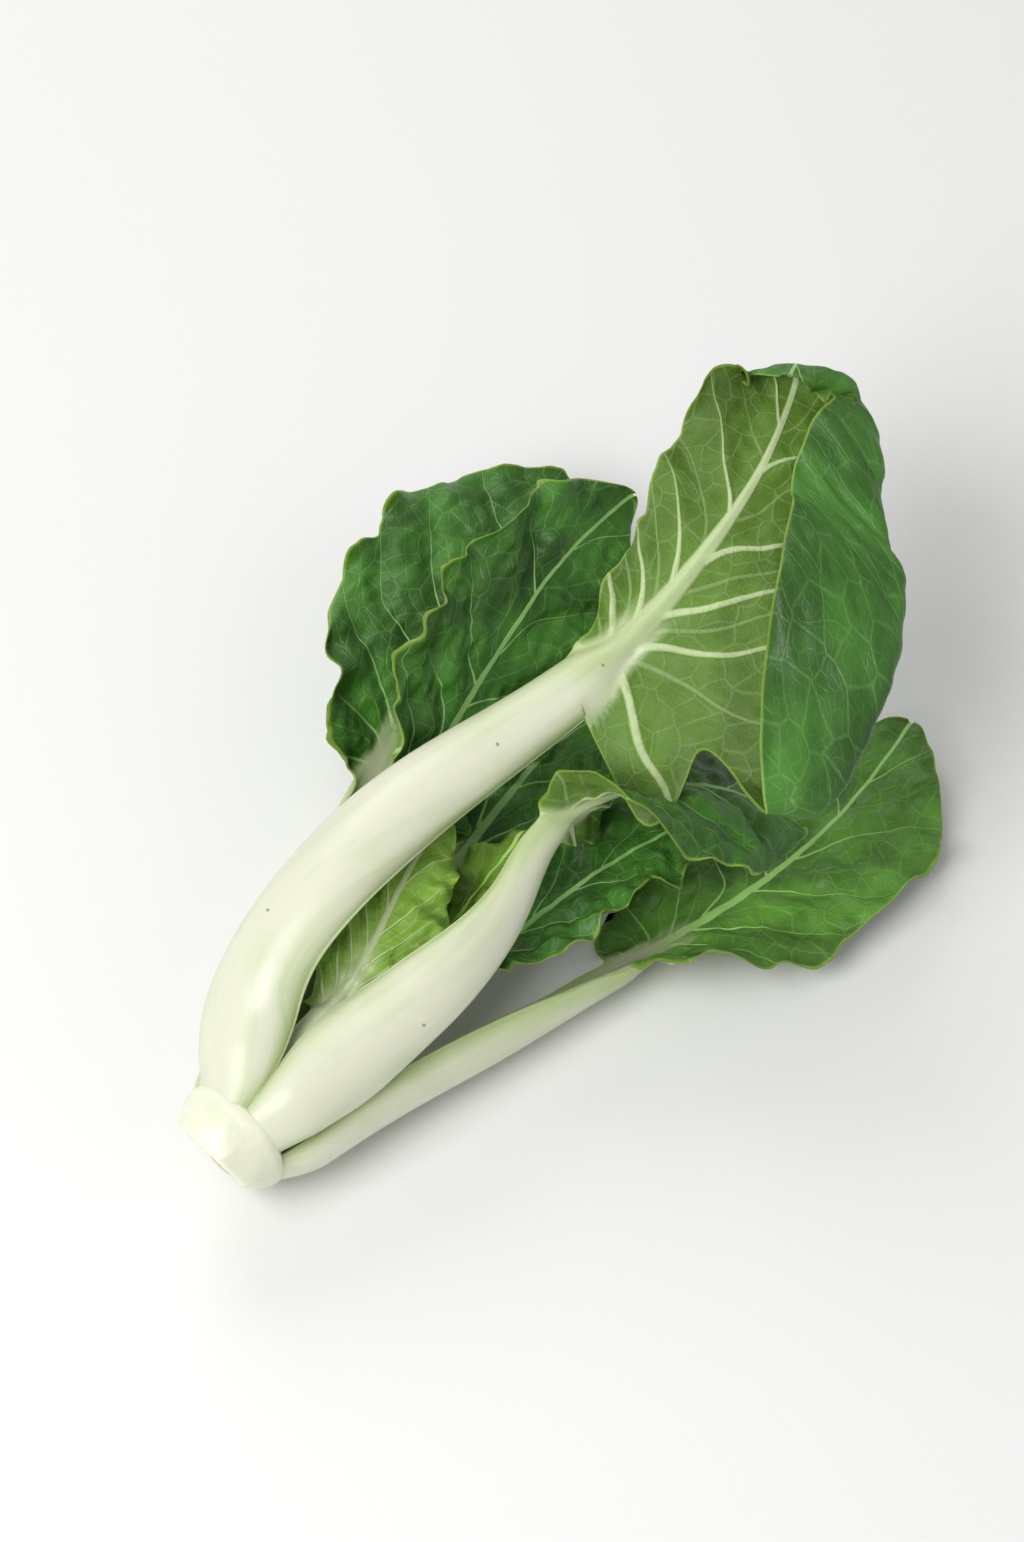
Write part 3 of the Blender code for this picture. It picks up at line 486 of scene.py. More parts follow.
LEAVES = [
    # The tall leaf: its stalk bows up and over, its blade turns its back up, and the left half of the
    # blade is folded over onto that back.
    Leaf("outer_leaf_top", OUTER_RING, -29,
         path=[(-73, 12.4, 31.2, 0, -0.65, -0.76), (-50, 16.5, 41, 0, -0.55, -0.83),
               (-16, 11.5, 49, 0.1, 0.1, -1), (29, 0, 57, 0.25, 0.1, -0.95), (55, -3, 68, 0.2, 0.2, -0.95),
               (78, 1, 69, 0.1, 0.2, -0.95), (94, 6.5, 69, 0.2, 0.2, -0.95),
               (101.5, 9.5, 72, 0.85, 0.45, -0.25), (101, 9.3, 77.5, 0.8, 0.3, 0.5),
               (95.5, 7, 80.5, -0.1, 0, 1)],
         joint=0.567,
         stalk=[(0, 6.4), (0.058, 10.2), (0.126, 13.3), (0.213, 12.6), (0.35, 9.8), (0.484, 7.4), (0.58, 6.2),
                (0.73, 4.8), (1, 2)],
         wing=[(0, 0, 0, 0), (0.55, 0, 0, 0), (0.557, 18, 0, -8), (0.565, 29, 1, -13), (0.578, 34, 3, -13),
               (0.594, 32, 6, -9), (0.61, 27, 8, -5), (0.623, 28, 9, -5), (0.637, 37, 11, -9),
               (0.651, 58, 13, -15), (0.669, 71, 14, -15), (0.69, 76, 15, -12), (0.72, 77, 16, -8),
               (0.755, 75, 18, -4), (0.79, 67, 19, 0), (0.825, 52, 19, 0), (0.87, 44, 20, -1),
               (0.905, 37, 20, -3), (0.935, 31, 17, -5), (1, 26, 11, -8)],
         curl=[(0, 40, 40), (0.126, 48, 48), (0.29, 46, 46), (0.532, 24, 35), (0.62, -18, 10),
               (0.774, -20, 35), (0.85, -18, 15), (0.9, -15, -60), (1, -10, -90)],
         fold=((0, 0, 0.9), (0.63, 0, 0.95), (0.651, -120, 0.9), (0.669, -160, 0.82), (0.69, -160, 0.73),
               (0.72, -160, 0.65), (0.761, -160, 0.59), (0.82, -160, 0.56), (0.87, -155, 0.56),
               (0.9, -150, 0.56), (0.94, -130, 0.6), (1, -110, 0.62)),
         ruffle=(1.6, 7, 0.5), veins=6, crinkled=0.8, wing_window=0.012),
    # The narrow-necked leaf beside it, whose blade tips over and hangs to the right.
    Leaf("outer_leaf_right", OUTER_RING, 43,
         path=[(-68, -10.5, 29, 0, 0.63, -0.78), (-43, -15.5, 34.5, 0, 0.83, -0.56),
               (-20, -14, 37, 0, 0.88, -0.47), (-6, -11, 41, 0, 0.7, -0.5), (6, -14, 43.5, -0.2, 0.8, 0.1),
               (20, -23, 42.5, 0.2, 0.2, 0.9), (33, -33, 33, 0.5, -0.2, 0.8), (43, -41, 18, 0.6, -0.3, 0.6)],
         joint=0.585,
         stalk=[(0, 5.2), (0.07, 7.6), (0.16, 10.4), (0.32, 8.9), (0.5, 4.9), (0.6, 3.6), (0.7, 3), (1, 2)],
         wing=oval_wing(0.585, 22, 22, back=-4),
         curl=[(0, 38, 38), (0.15, 46, 46), (0.35, 42, 42), (0.55, 25, 25), (0.7, -30, -30), (1, -30, -30)],
         ruffle=(1.5, 6, 0), veins=6),
    # Three leaves that lie on the surface: one under the head and one on each side.
    Leaf("outer_leaf_under", OUTER_RING, 181,
         path=[(-70, -1, 5.8, 0, 0.1, 1), (-40, 4, 5.8, 0, 0, 1), (-5, 10, 6.2, 0, 0, 1),
               (30, 18, 5.4, 0, 0, 1), (62, 24, 4.6, 0, 0, 1), (90, 28, 5.6, 0, 0, 1)],
         joint=0.5,
         stalk=[(0, 5.8), (0.07, 7.2), (0.16, 8.8), (0.35, 8.8), (0.5, 6.5), (0.7, 5), (1, 2)],
         wing=oval_wing(0.5, 30, 30), curl=OUTER_CURL + [(0.7, 8, 8), (1, 12, 12)],
         ruffle=(1.0, 5, 1), veins=7),
    Leaf("outer_leaf_left", OUTER_RING, -106,
         path=[(-70, 14, 13.6, 0, -0.92, 0.39), (-42, 24.5, 8.8, 0, -0.88, 0.47),
               (-8, 35.5, 14.2, 0, -0.77, 0.64), (28, 45.5, 22, 0, -0.35, 0.92),
               (60, 50.5, 22, 0, -0.25, 0.96), (84, 53, 17, 0.2, -0.2, 0.95)],
         joint=0.5,
         stalk=SIDE_STALK, wing=oval_wing(0.5, 27, 25), curl=OUTER_CURL + [(0.7, -8, 18), (1, 10, 15)],
         ruffle=(1.8, 5, 2), veins=7, crinkled=1.2),
    Leaf("outer_leaf_low_right", OUTER_RING, 111.5,
         path=[(-70, -14.2, 13.2, 0, 0.95, 0.31), (-42, -21, 11.5, 0, 0.95, 0.31),
               (-10, -29, 9.2, 0, 0.79, 0.62), (25, -38, 7.4, 0, 0.2, 0.98), (58, -41, 6.6, 0, 0.15, 0.98),
               (86, -38, 6.6, 0.1, 0.1, 0.98)],
         joint=0.5,
         stalk=SIDE_STALK, wing=oval_wing(0.5, 25, 25), curl=OUTER_CURL + [(0.7, 8, -12), (1, 10, -5)],
         ruffle=(1.6, 5, 0.7), veins=7),
    # The middle ring. The front one is the bright leaf in the gap between the two raised stalks.
    Leaf("middle_leaf_front", MIDDLE_RING, 2,
         path=[(-68, 0, 26, 0, 0, -1), (-52, 1, 30, 0.25, 0.1, -1), (-38, 4, 34, 0.3, 0.1, -1),
               (-26, 7, 37, 0.3, 0.1, -1), (-14, 9, 39, 0.2, 0.1, -1)],
         joint=0.36,
         stalk=[(0, 3.6), (0.2, 4.4), (0.36, 3.4), (0.7, 2), (1, 1)],
         wing=oval_wing(0.36, 12, 12, tip=-3, back=-3),
         curl=[(0, 38, 38), (0.3, 30, 30), (0.45, 15, 15), (1, 25, 25)],
         ruffle=(1.5, 7, 0), veins=6, crinkled=1.1),
    Leaf("middle_leaf_right", MIDDLE_RING, 88,
         path=[(-68, -8.8, 18.2, 0, 1, -0.03), (-44, -10.5, 18, 0, 0.97, 0.26),
               (-18, -14.5, 22.8, 0, 0.35, 0.92), (8, -20, 25.5, 0, 0.2, 0.95),
               (30, -27, 25.5, 0, 0.1, 0.95)],
         wing=oval_wing(0.44, 16, 14, tip=-4, back=-3), curl=MIDDLE_CURL + [(1, 20, 20)],
         ruffle=(1.5, 6, 1), veins=6, crinkled=1.4, **MIDDLE),
    Leaf("middle_leaf_under", MIDDLE_RING, 178,
         path=[(-66, 1.5, 11.5, 0, 0, 1), (-40, 5, 12.5, 0, 0, 1), (-8, 10, 15.5, 0, 0, 1),
               (25, 12, 20, 0, 0, 1), (52, 11, 24, 0, 0, 1), (70, 9, 24, 0.2, 0, 1)],
         wing=oval_wing(0.42, 24, 18, back=-6), curl=MIDDLE_CURL + [(1, 12, 12)],
         ruffle=(1.6, 5, 1), veins=7, crinkled=1.3, **MIDDLE),
    Leaf("middle_leaf_left", MIDDLE_RING, -86,
         path=[(-66, 9.5, 19, 0, -1, 0.07), (-40, 15, 23, 0, -1, 0), (-10, 21, 31, 0, -0.85, 0.4),
               (25, 27, 40, 0, -0.8, 0.6), (52, 29, 47, 0, -0.75, 0.65), (70, 28, 48, 0.1, -0.75, 0.65)],
         wing=oval_wing(0.42, 22, 22, back=-6), curl=MIDDLE_CURL + [(1, 10, 10)],
         ruffle=(1.6, 6, 1), veins=7, crinkled=1.4, **MIDDLE),
    # Two small leaves that curl around the bud.
    Leaf("inner_leaf_low", INNER_RING, 130,
         path=[(-62, -3.0, 17.2, 0, 0.77, 0.64), (-40, -3, 19.5, 0, 0.71, 0.71),
               (-18, -2, 24, 0, 0.5, 0.87), (0, -1, 27, 0, 0.5, 0.87)], **INNER),
    Leaf("inner_leaf_high", INNER_RING, -50,
         path=[(-64, 3.2, 20.5, 0, -0.77, -0.64), (-44, 6, 24, 0, -0.87, -0.5),
               (-22, 11, 27.5, 0, -0.98, -0.17), (-3, 14.5, 32, 0, -0.98, 0.17)], **INNER),
]


# ---------------------------------------------------------------- meshes

def grid_faces(index):
    """Quads between neighbouring rows and columns of a grid of point numbers."""
    return np.stack([index[:-1, :-1], index[:-1, 1:], index[1:, 1:], index[1:, :-1]], -1).reshape(-1, 4)


def make_piece(name, points, faces, marks, flat, bake):
    """Mesh object of quads, with its marks as point attributes and its two UV maps, in the model's frame.

    flat is the pattern's place for each point; bake, for each corner of each face, fills the unit square.
    """
    mesh = bpy.data.meshes.new(name)
    mesh.vertices.add(len(points))
    mesh.vertices.foreach_set("co", (ORIGIN + points * MM).astype(np.float32).ravel())
    mesh.loops.add(faces.size)
    mesh.loops.foreach_set("vertex_index", faces.astype(np.int32).ravel())
    mesh.polygons.add(len(faces))
    mesh.polygons.foreach_set("loop_start", np.arange(0, faces.size, 4, dtype=np.int32))
    mesh.update(calc_edges=True)
    mesh.validate()
    for title, layer in (("OFBake", bake.reshape(-1, 2)), ("Pattern", flat[faces.ravel()])):
        mesh.uv_layers.new(name=title).uv.foreach_set("vector", layer.astype(np.float32).ravel())
    for mark, values in marks.items():
        attribute = mesh.attributes.new(mark, "FLOAT", "POINT")
        attribute.data.foreach_set("value", np.ravel(values).astype(np.float32))
    mesh.shade_smooth()
    piece = bpy.data.objects.new(name, mesh)
    bpy.context.scene.collection.objects.link(piece)
    return piece


def grid_place(rows, columns, width):
    """A grid's own place in the bake map: rows go up, columns across the given part of its width."""
    across, up = np.meshgrid(np.linspace(*width, columns), np.linspace(*SHEETS_UP, rows))
    return np.stack([across, up], -1).reshape(-1, 2)


def sheet_piece(name, upper, lower, marks, flat):
    """Closed piece between two grids of the same size: both sheets, and a rim around them."""
    rows, columns = upper.shape[:2]
    index = np.arange(rows * columns).reshape(rows, columns)
    top = grid_faces(index)
    rim = np.concatenate([index[0, :], index[1:, -1], index[-1, -2::-1], index[-2:0:-1, 0]])
    after = np.roll(rim, -1)
    wall = np.stack([rim, rim + rows * columns, after + rows * columns, after], -1)
    faces = np.concatenate([top, top[:, ::-1] + rows * columns, wall])
    points = np.concatenate([upper.reshape(-1, 3), lower.reshape(-1, 3)])
    points[:, 2] = np.maximum(points[:, 2], -ORIGIN[2] / MM + FLOOR_GAP)
    place, other = (grid_place(rows, columns, width) for width in (LEFT_HALF, RIGHT_HALF))
    bake = np.concatenate([place[top], other[top[:, ::-1]], strip_cells(len(rim))])
    both = {mark: np.concatenate([np.ravel(a), np.ravel(b)]) for mark, (a, b) in marks.items()}
    pattern = np.concatenate([flat.reshape(-1, 2), flat.reshape(-1, 2) + LOWER_SHIFT])
    return make_piece(name, points, faces, both, pattern, bake)


def strip_cells(count):
    """Corners of so many little cells side by side in the strip along the top of the bake map."""
    edges = np.linspace(*WHOLE_WIDTH, count + 1)
    start, end = edges[:-1], edges[1:]
    low, high = (np.full(count, up) for up in STRIP_UP)
    corners = ((start, low), (start, high), (end, high), (end, low))
    return np.stack([np.stack(corner, -1) for corner in corners], 1)


def slanted(points):
    """Points of the stem moved along it so that its end is cut at a slant."""
    share = np.clip((CUT_FADE - points[..., 0]) / (CUT_FADE - CUT_FACE), 0, 1)
    shift = CUT_BACK - CUT_TILT * (points[..., 2] - AXIS_HEIGHT) + CUT_TURN * points[..., 1]
    return points + np.stack([share * shift, 0 * share, 0 * share], -1)


PROFILE_WINDOW = 0.3        # part of the way to the next knot over which a turned profile is rounded
LAST_RADIUS = 0.03          # radius of a turned piece's tiny last ring


def turned_piece(name, profile, shape, sides, rows):
    """Closed piece turned about the stem's centre line: a grid of rows along the profile, sides around.

    The profile is X and radius, rounded a little; shape(x, turn) scales the radius. Each end closes with
    quads across its last, tiny ring. The marks say how near the cut end a point is and how far it is out.
    """
    knots, places = stations([(i, x) for i, (x, _) in enumerate(profile)])
    radii = np.array([radius for _, radius in profile], float)
    at = np.linspace(0, len(profile) - 1, rows)
    x = eased(knots, places, at, PROFILE_WINDOW)[:, None]
    turn = np.linspace(0, 2 * np.pi, sides, endpoint=False)[None, :]
    radius = np.maximum(eased(knots, radii, at, PROFILE_WINDOW)[:, None], LAST_RADIUS) * shape(x, turn)
    grid = np.stack([x + 0 * radius, -radius * np.sin(turn), AXIS_HEIGHT + radius * np.cos(turn)], -1)
    index = np.arange(rows * sides).reshape(rows, sides)
    pairs = np.arange(1, sides - 2, 2)
    fan = np.stack([0 * pairs, pairs, pairs + 1, pairs + 2], -1)
    faces = np.concatenate([grid_faces(np.concatenate([index, index[:, :1]], 1)), fan[:, ::-1],
                            fan + (rows - 1) * sides])
    place = grid_place(rows, sides + 1, WHOLE_WIDTH)
    cells = strip_cells(2 * len(fan))
    bake = np.concatenate([place[grid_faces(np.arange(place.shape[0]).reshape(rows, -1))], cells])
    marks = {"cut": smoothstep((CUT_FACE + CUT_RIM - grid[..., 0]) / 0.5), "out": radius + 0 * x}
    flat = np.stack([turn * radius.mean() + 0 * x, grid[..., 0]], -1).reshape(-1, 2) / PATTERN_SPAN
    return make_piece(name, slanted(grid).reshape(-1, 3), faces, marks, flat, bake)


# ---------------------------------------------------------------- materials

SKIN_SHARE = 0.25           # share of the light that is scattered under the skin


class Wiring:
    """Adds a material's nodes one after another. Each call returns the new node's output."""

    def __init__(self, name):
        self.material = bpy.data.materials.new(name)
        self.material.use_nodes = True
        self.tree = self.material.node_tree
        self.shader = self.tree.nodes["Principled BSDF"]

    def put(self, socket, value):
        """Joins an output to a socket, or sets the socket to a number, a vector or a colour."""
        if isinstance(value, bpy.types.NodeSocket):
            self.tree.links.new(value, socket)
        elif socket.type == "RGBA":
            socket.default_value = (*value, 1)
        else:
            socket.default_value = value

    def add(self, kind, output, inputs, **settings):
        node = self.tree.nodes.new("ShaderNode" + kind)
        for setting, value in settings.items():
            setattr(node, setting, value)
        for key, value in inputs.items():
            self.put(node.inputs[key], value)
        return node.outputs[output]

    def mark(self, name):
        return self.add("Attribute", "Fac", {}, attribute_name=name)

    def calc(self, operation, a, b=0.0, c=0.0):
        return self.add("Math", 0, {0: a, 1: b, 2: c}, operation=operation)

    def band(self, value, start, end, low=0.0, high=1.0):
        """Low where the value is at the start, high where it is at the end, with a smooth step between."""
        inputs = {"Value": value, "From Min": start, "From Max": end, "To Min": low, "To Max": high}
        return self.add("MapRange", "Result", inputs, interpolation_type="SMOOTHSTEP")

    def mix(self, amount, a, b):
        """Colour a where the amount is 0, colour b where it is 1."""
        return self.add("Mix", 2, {0: amount, 6: a, 7: b}, data_type="RGBA")

    def vectors(self, operation, a, b):
        return self.add("VectorMath", 0, {0: a, 1: b}, operation=operation)

    def noise(self, vector, size, detail=2.0, output="Fac"):
        """Random clouds of about that size in millimetres."""
        inputs = {"Vector": vector, "Scale": PATTERN_SPAN / size, "Detail": detail}
        return self.add("TexNoise", output, inputs)

    def cells(self, vector, size, output="Distance", **settings):
        """Voronoi cells of about that size in millimetres."""
        return self.add("TexVoronoi", output, {"Vector": vector, "Scale": PATTERN_SPAN / size}, **settings)

    def surface(self, colour, roughness, relief=None, strength=0.8, depth=0.3):
        """Gives the shader its colour, roughness and, from a height, bumps of that depth in millimetres."""
        self.put(self.shader.inputs["Base Color"], colour)
        self.put(self.shader.inputs["Roughness"], roughness)
        if relief is not None:
            inputs = {"Strength": strength, "Distance": depth * MM, "Height": relief}
            self.put(self.shader.inputs["Normal"], self.add("Bump", 0, inputs))

    def soften(self, radius, depth):
        """Lets light into the skin, to about that depth in millimetres."""
        self.shader.inputs["Subsurface Weight"].default_value = SKIN_SHARE
        self.shader.inputs["Subsurface Radius"].default_value = radius
        self.shader.inputs["Subsurface Scale"].default_value = depth * MM


def tone(colour, share):
    """A colour that is so much lighter, or darker below 1."""
    return tuple(min(1.0, part * share) for part in colour)


# Patterns of a leaf: millimetres from one to the next, or how strongly they show.
NET_SPAN, NET_SHOWS = 6.0, 0.13
FINE_SPAN, FINE_SHOWS = 2.0, 0.05
LESSER_SHOWS = 0.28         # the thin veins halfway between the side veins
BLOTCH_SPAN, CLOUD_SPAN, STRIPE_SPAN, STREAK_SPAN = 16, 22, 7, 1.6
STALK_STRETCH = (1.0, 0.05, 1.0)      # draws stripes and streaks out along the stalk
SPECK_SPAN, LEAF_SPECK, STEM_SPECK = 13, (0.22, 0.13, 0.05), (0.24, 0.14, 0.05)
MARGIN_LINE = (0.7, 0.2)    # millimetres from the margin where its line starts and is at its strongest


def leaf_material(name, upper_green, under_green, looks):
    """White stalk, green blade: net of veins over a blotched green, sunk above and raised on the back.

    The side veins are where the phase that each point carries is a whole number, and thin ones lie where
    it is a half. The finer nets are the edges of Voronoi cells on the flattened leaf. The stalk turns from
    white to light green where ripe, broken up by clouds, stripes and streaks, grows.
    """
    w = Wiring(name)
    flat = w.add("UVMap", "UV", {}, uv_map="Pattern")
    back, blade = w.mark("back"), w.mark("blade")
    shake = w.vectors("SUBTRACT", w.noise(flat, 9, 2, "Color"), (0.5, 0.5, 0.5))
    bent = w.vectors("ADD", flat, w.vectors("MULTIPLY", shake, (0.03, 0.03, 0.0)))

    from_half = w.calc("ABSOLUTE", w.calc("SUBTRACT", w.calc("FRACT", w.mark("vein")), 0.5))
    from_vein = w.calc("DIVIDE", w.calc("SUBTRACT", 0.5, from_half), w.mark("vein_half"))
    vein = w.band(from_vein, 1.3, 0.6)
    lesser = w.band(w.calc("DIVIDE", from_half, w.mark("vein_half")), 0.75, 0.3)
    pale_here = w.band(w.mark("pale"), 0.0, 0.8, 0.45, 1.0)
    beside_vein = w.band(from_vein, 5.0, 0.8)
    rib = w.band(w.mark("rib"), 1.15, 0.7)
    large = w.calc("MAXIMUM", vein, rib)
    net, fine = (w.band(w.cells(bent, span, feature="DISTANCE_TO_EDGE", voronoi_dimensions="2D"), width, 0.0)
                 for span, width in ((NET_SPAN, 0.075), (FINE_SPAN, 0.11)))
    nets = w.calc("MAXIMUM", w.calc("MULTIPLY", net, NET_SHOWS), w.calc("MULTIPLY", fine, FINE_SHOWS))
    nets = w.calc("MAXIMUM", nets, w.calc("MULTIPLY", lesser, LESSER_SHOWS))
    off_rib = w.calc("SUBTRACT", 1.0, rib)
    strong = w.calc("MAXIMUM", w.calc("MULTIPLY", vein, pale_here), rib)

    blotch = w.band(w.noise(flat, BLOTCH_SPAN, 4), 0.3, 0.7)
    upper = w.mix(blotch, tone(upper_green, 0.6), tone(upper_green, 1.5))
    under = w.mix(blotch, tone(under_green, 0.75), tone(under_green, 1.3))
    for paler in (w.band(w.mark("pale"), 0.1, 0.9, 0.0, 0.4), w.calc("MULTIPLY", beside_vein, 0.35)):
        under = w.mix(paler, under, tone(under_green, 1.8))
    lamina = w.mix(back, upper, under)
    pale = w.mix(0.38, tone(upper_green, 3.2), looks.vein_white)
    pale = w.mix(back, pale, looks.vein_white)
    veined = w.mix(w.calc("MAXIMUM", strong, nets), lamina, pale)
    veined = w.mix(w.band(w.mark("margin"), *MARGIN_LINE, 0.0, 0.55), veined, looks.margin_lime)

    along = w.vectors("MULTIPLY", flat, STALK_STRETCH)
    streak = w.noise(along, STREAK_SPAN, 3)
    stripe = w.noise(along, STRIPE_SPAN, 2)
    cloud = w.noise(flat, CLOUD_SPAN, 3)
    ripe = w.mark("ripe")
    for field, middle, amount in ((cloud, 0.45, 0.9), (streak, 0.5, 0.7), (stripe, 0.42, 1.8)):
        ripe = w.calc("MULTIPLY_ADD", w.calc("SUBTRACT", field, middle), amount, ripe)
    stalk = w.mix(w.band(ripe, 0.1, 1.15), looks.stalk_white, looks.stalk_green)
    colour = w.mix(blade, stalk, veined)
    spots = w.cells(flat, SPECK_SPAN, voronoi_dimensions="2D")
    chosen = w.add("SeparateColor", 0, {0: w.cells(flat, SPECK_SPAN, "Color", voronoi_dimensions="2D")})
    speck = w.calc("MULTIPLY", w.band(spots, 0.035, 0.015), w.band(chosen, 0.72, 0.74))
    on_stalk = w.calc("MULTIPLY_ADD", blade, -0.75, 0.75)
    colour = w.mix(w.calc("MULTIPLY", speck, on_stalk), colour, LEAF_SPECK)

    gloss = w.calc("MULTIPLY_ADD", w.noise(flat, 5, 3), 0.25, 0.22)
    dull = w.calc("MULTIPLY_ADD", back, 0.12, 0.06)
    relief = w.calc("ADD", w.calc("MULTIPLY", net, 0.35), w.calc("MULTIPLY", fine, 0.2))
    relief = w.calc("MULTIPLY_ADD", relief, off_rib, w.calc("MULTIPLY", large, 0.7))
    relief = w.calc("MULTIPLY", relief, w.calc("MULTIPLY_ADD", back, 2.0, -1.0))
    relief = w.calc("MULTIPLY_ADD", w.noise(flat, 2.5, 3), 0.8, relief)
    relief = w.calc("MULTIPLY", relief, blade)
    relief = w.calc("ADD", relief, w.calc("MULTIPLY", streak, 0.5))
    w.surface(colour, w.calc("MULTIPLY_ADD", dull, blade, gloss), relief)
    w.put(w.shader.inputs["Specular IOR Level"], w.calc("MULTIPLY_ADD", blade, -0.18, 0.5))
    w.soften((1.0, 1.0, 0.35), 1.2)
    return w.material


def stem_material(looks):
    """White rind with faint green clouds; on the cut face a cream disc in a paler ring, a little browned."""
    w = Wiring("stem_finish")
    place = w.vectors("MULTIPLY", w.add("TexCoord", "Object", {}), [1 / (PATTERN_SPAN * MM)] * 3)
    clouds = w.band(w.noise(place, 7, 4), 0.42, 0.75, 0.0, 0.14)
    rind = w.mix(clouds, tone(looks.stalk_white, 1.10), looks.stalk_green)
    out = w.calc("MULTIPLY_ADD", w.calc("SUBTRACT", w.noise(place, 3, 3), 0.5), 2.2, w.mark("out"))
    face = w.mix(w.band(out, 4.6, 6.2), (0.80, 0.79, 0.52), (0.72, 0.66, 0.34))
    face = w.mix(w.band(out, 6.6, 8.4), face, (0.86, 0.86, 0.68))
    face = w.mix(w.band(w.noise(place, 2.2, 4), 0.55, 0.78, 0.0, 0.4), face, (0.55, 0.42, 0.18))
    colour = w.mix(w.mark("cut"), rind, face)
    speck = w.calc("MULTIPLY", w.band(w.cells(place, 6), 0.07, 0.03), 0.6)
    colour = w.mix(speck, colour, STEM_SPECK)
    relief = w.calc("ADD", w.noise(place, 2.0, 4), w.calc("MULTIPLY", w.noise(place, 8, 2), 2.0))
    w.surface(colour, w.calc("MULTIPLY_ADD", w.mark("cut"), 0.25, 0.3), relief, 0.6, 0.25)
    w.soften((1.0, 1.0, 0.6), 1.5)
    return w.material


def bud_material(looks):
    """Young green, paler along the ridges of the tiny leaves that wrap the bud."""
    w = Wiring("bud_finish")
    flat = w.add("UVMap", "UV", {}, uv_map="Pattern")
    ridge = w.noise(w.vectors("MULTIPLY", flat, (1.0, 0.2, 1.0)), 1.2, 3)
    w.surface(w.mix(ridge, tone(looks.young_green, 0.6), tone(looks.young_green, 2.0)), 0.4, ridge, 0.7)
    return w.material


FLOOR_CLOUD = 400           # as noise takes it: the floor's coordinates are metres, so this is about 4 metres


def floor_material(colour):
    """Pale matt floor whose tone changes a little, very slowly."""
    w = Wiring("floor_finish")
    place = w.add("TexCoord", "Object", {})
    w.surface(w.mix(w.noise(place, FLOOR_CLOUD, 3), tone(colour, 0.985), colour), 0.6)
    return w.material


# ---------------------------------------------------------------- operators

OUTER_GRID = (290, 165)      # rows and columns of points in a leaf's sheets
MIDDLE_GRID = (230, 121)
INNER_GRID = (130, 71)


def take_place(piece, node, material):
    """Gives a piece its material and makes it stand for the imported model's solid of that name."""
    piece.data.materials.append(material)
    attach(piece, "root")
    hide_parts(node)


def leaves_named(start):
    """The leaves whose names begin so; there has to be at least one."""
    found = [leaf for leaf in LEAVES if leaf.name.startswith(start)]
    if not found:
        raise RuntimeError(f"no leaf's name begins with {start}")
    return found


def make_leaves(looks, grid, start, finish, upper, under, but=()):
    """Makes the leaves whose names begin so, but for some, with one material of those two greens."""
    material = leaf_material(finish, upper, under, looks)
    for leaf in leaves_named(start):
        if leaf.name not in but:
            piece = sheet_piece(leaf.name + "_grown", *leaf_sheets(leaf, *grid, looks))
            take_place(piece, leaf.name, material)


STEM_PROFILE = [(-99.7, 0), (-99.75, 4), (-99.9, 7), (-100, 8.6), (-99.7, 9.4), (-98.8, 10.1), (-97, 10.9),
                (-95, 11.4), (-93, 11.9), (-91.3, 12.3), (-89.8, 12.2), (-88.4, 10.8), (-86.4, 6.5),
                (-84.4, 2.2), (-83.6, 0)]
BUD_PROFILE = [(-83.6, 0), (-83.4, 0.8), (-79, 1.7), (-71, 2.1), (-61, 1.9), (-54, 1.0), (-52, 0)]
STEM_CUTS = 7               # flat cuts around the trimmed end
FLARE_HEIGHT, FLARE_TURN = 0.07, 0.42    # how far a leaf's foot stands out, as a share, and its half-angle


def trimmed(x, turn):
    """Share of the radius around the stem: flat cuts near the trimmed end, a flare at each outer leaf."""
    piece = np.pi / STEM_CUTS
    flat = np.cos(piece) / np.cos((turn + 0.3) % (2 * piece) - piece)
    near_end = 0.75 * smoothstep((CUT_FACE + 6 - x) / 5)
    apart = [(turn - np.radians(leaf.angle) + np.pi) % (2 * np.pi) - np.pi for leaf in leaves_named("outer")]
    flare = FLARE_HEIGHT * sum(np.exp(-(gap / FLARE_TURN)**2) for gap in apart)
    return 1 + near_end * (flat * 1.03 - 1) + flare * smoothstep((x + 97) / 8)


def wrapped(x, turn):
    """Share of the radius around the bud: three tiny leaves, wound slowly around it."""
    return 1 + 0.16 * np.cos(3 * turn + x / 4)


class BOKCHOY_OT_stem_base(bpy.types.Operator):
    """Make the short trimmed stem that the leaves grow from"""
    bl_idname = "bokchoy.stem_base"
    bl_label = "Stem base"

    def execute(self, context):
        piece = turned_piece("stem_base_grown", STEM_PROFILE, trimmed, 160, 200)
        take_place(piece, "stem_base", stem_material(context.scene.bokchoy_leaves))
        return {"FINISHED"}


class BOKCHOY_OT_outer_leaves(bpy.types.Operator):
    """Make the five grown leaves of the outer ring; the one low on the right is a fresher green"""
    bl_idname = "bokchoy.outer_leaves"
    bl_label = "Outer leaves"

    def execute(self, context):
        looks = context.scene.bokchoy_leaves
        fresh = "outer_leaf_low_right"
        make_leaves(looks, OUTER_GRID, fresh, "fresh_leaf_finish",
                    looks.fresh_green, looks.under_green)
        make_leaves(looks, OUTER_GRID, "outer_leaf", "outer_leaf_finish",
                    looks.upper_green, looks.under_green, but=(fresh,))
        return {"FINISHED"}


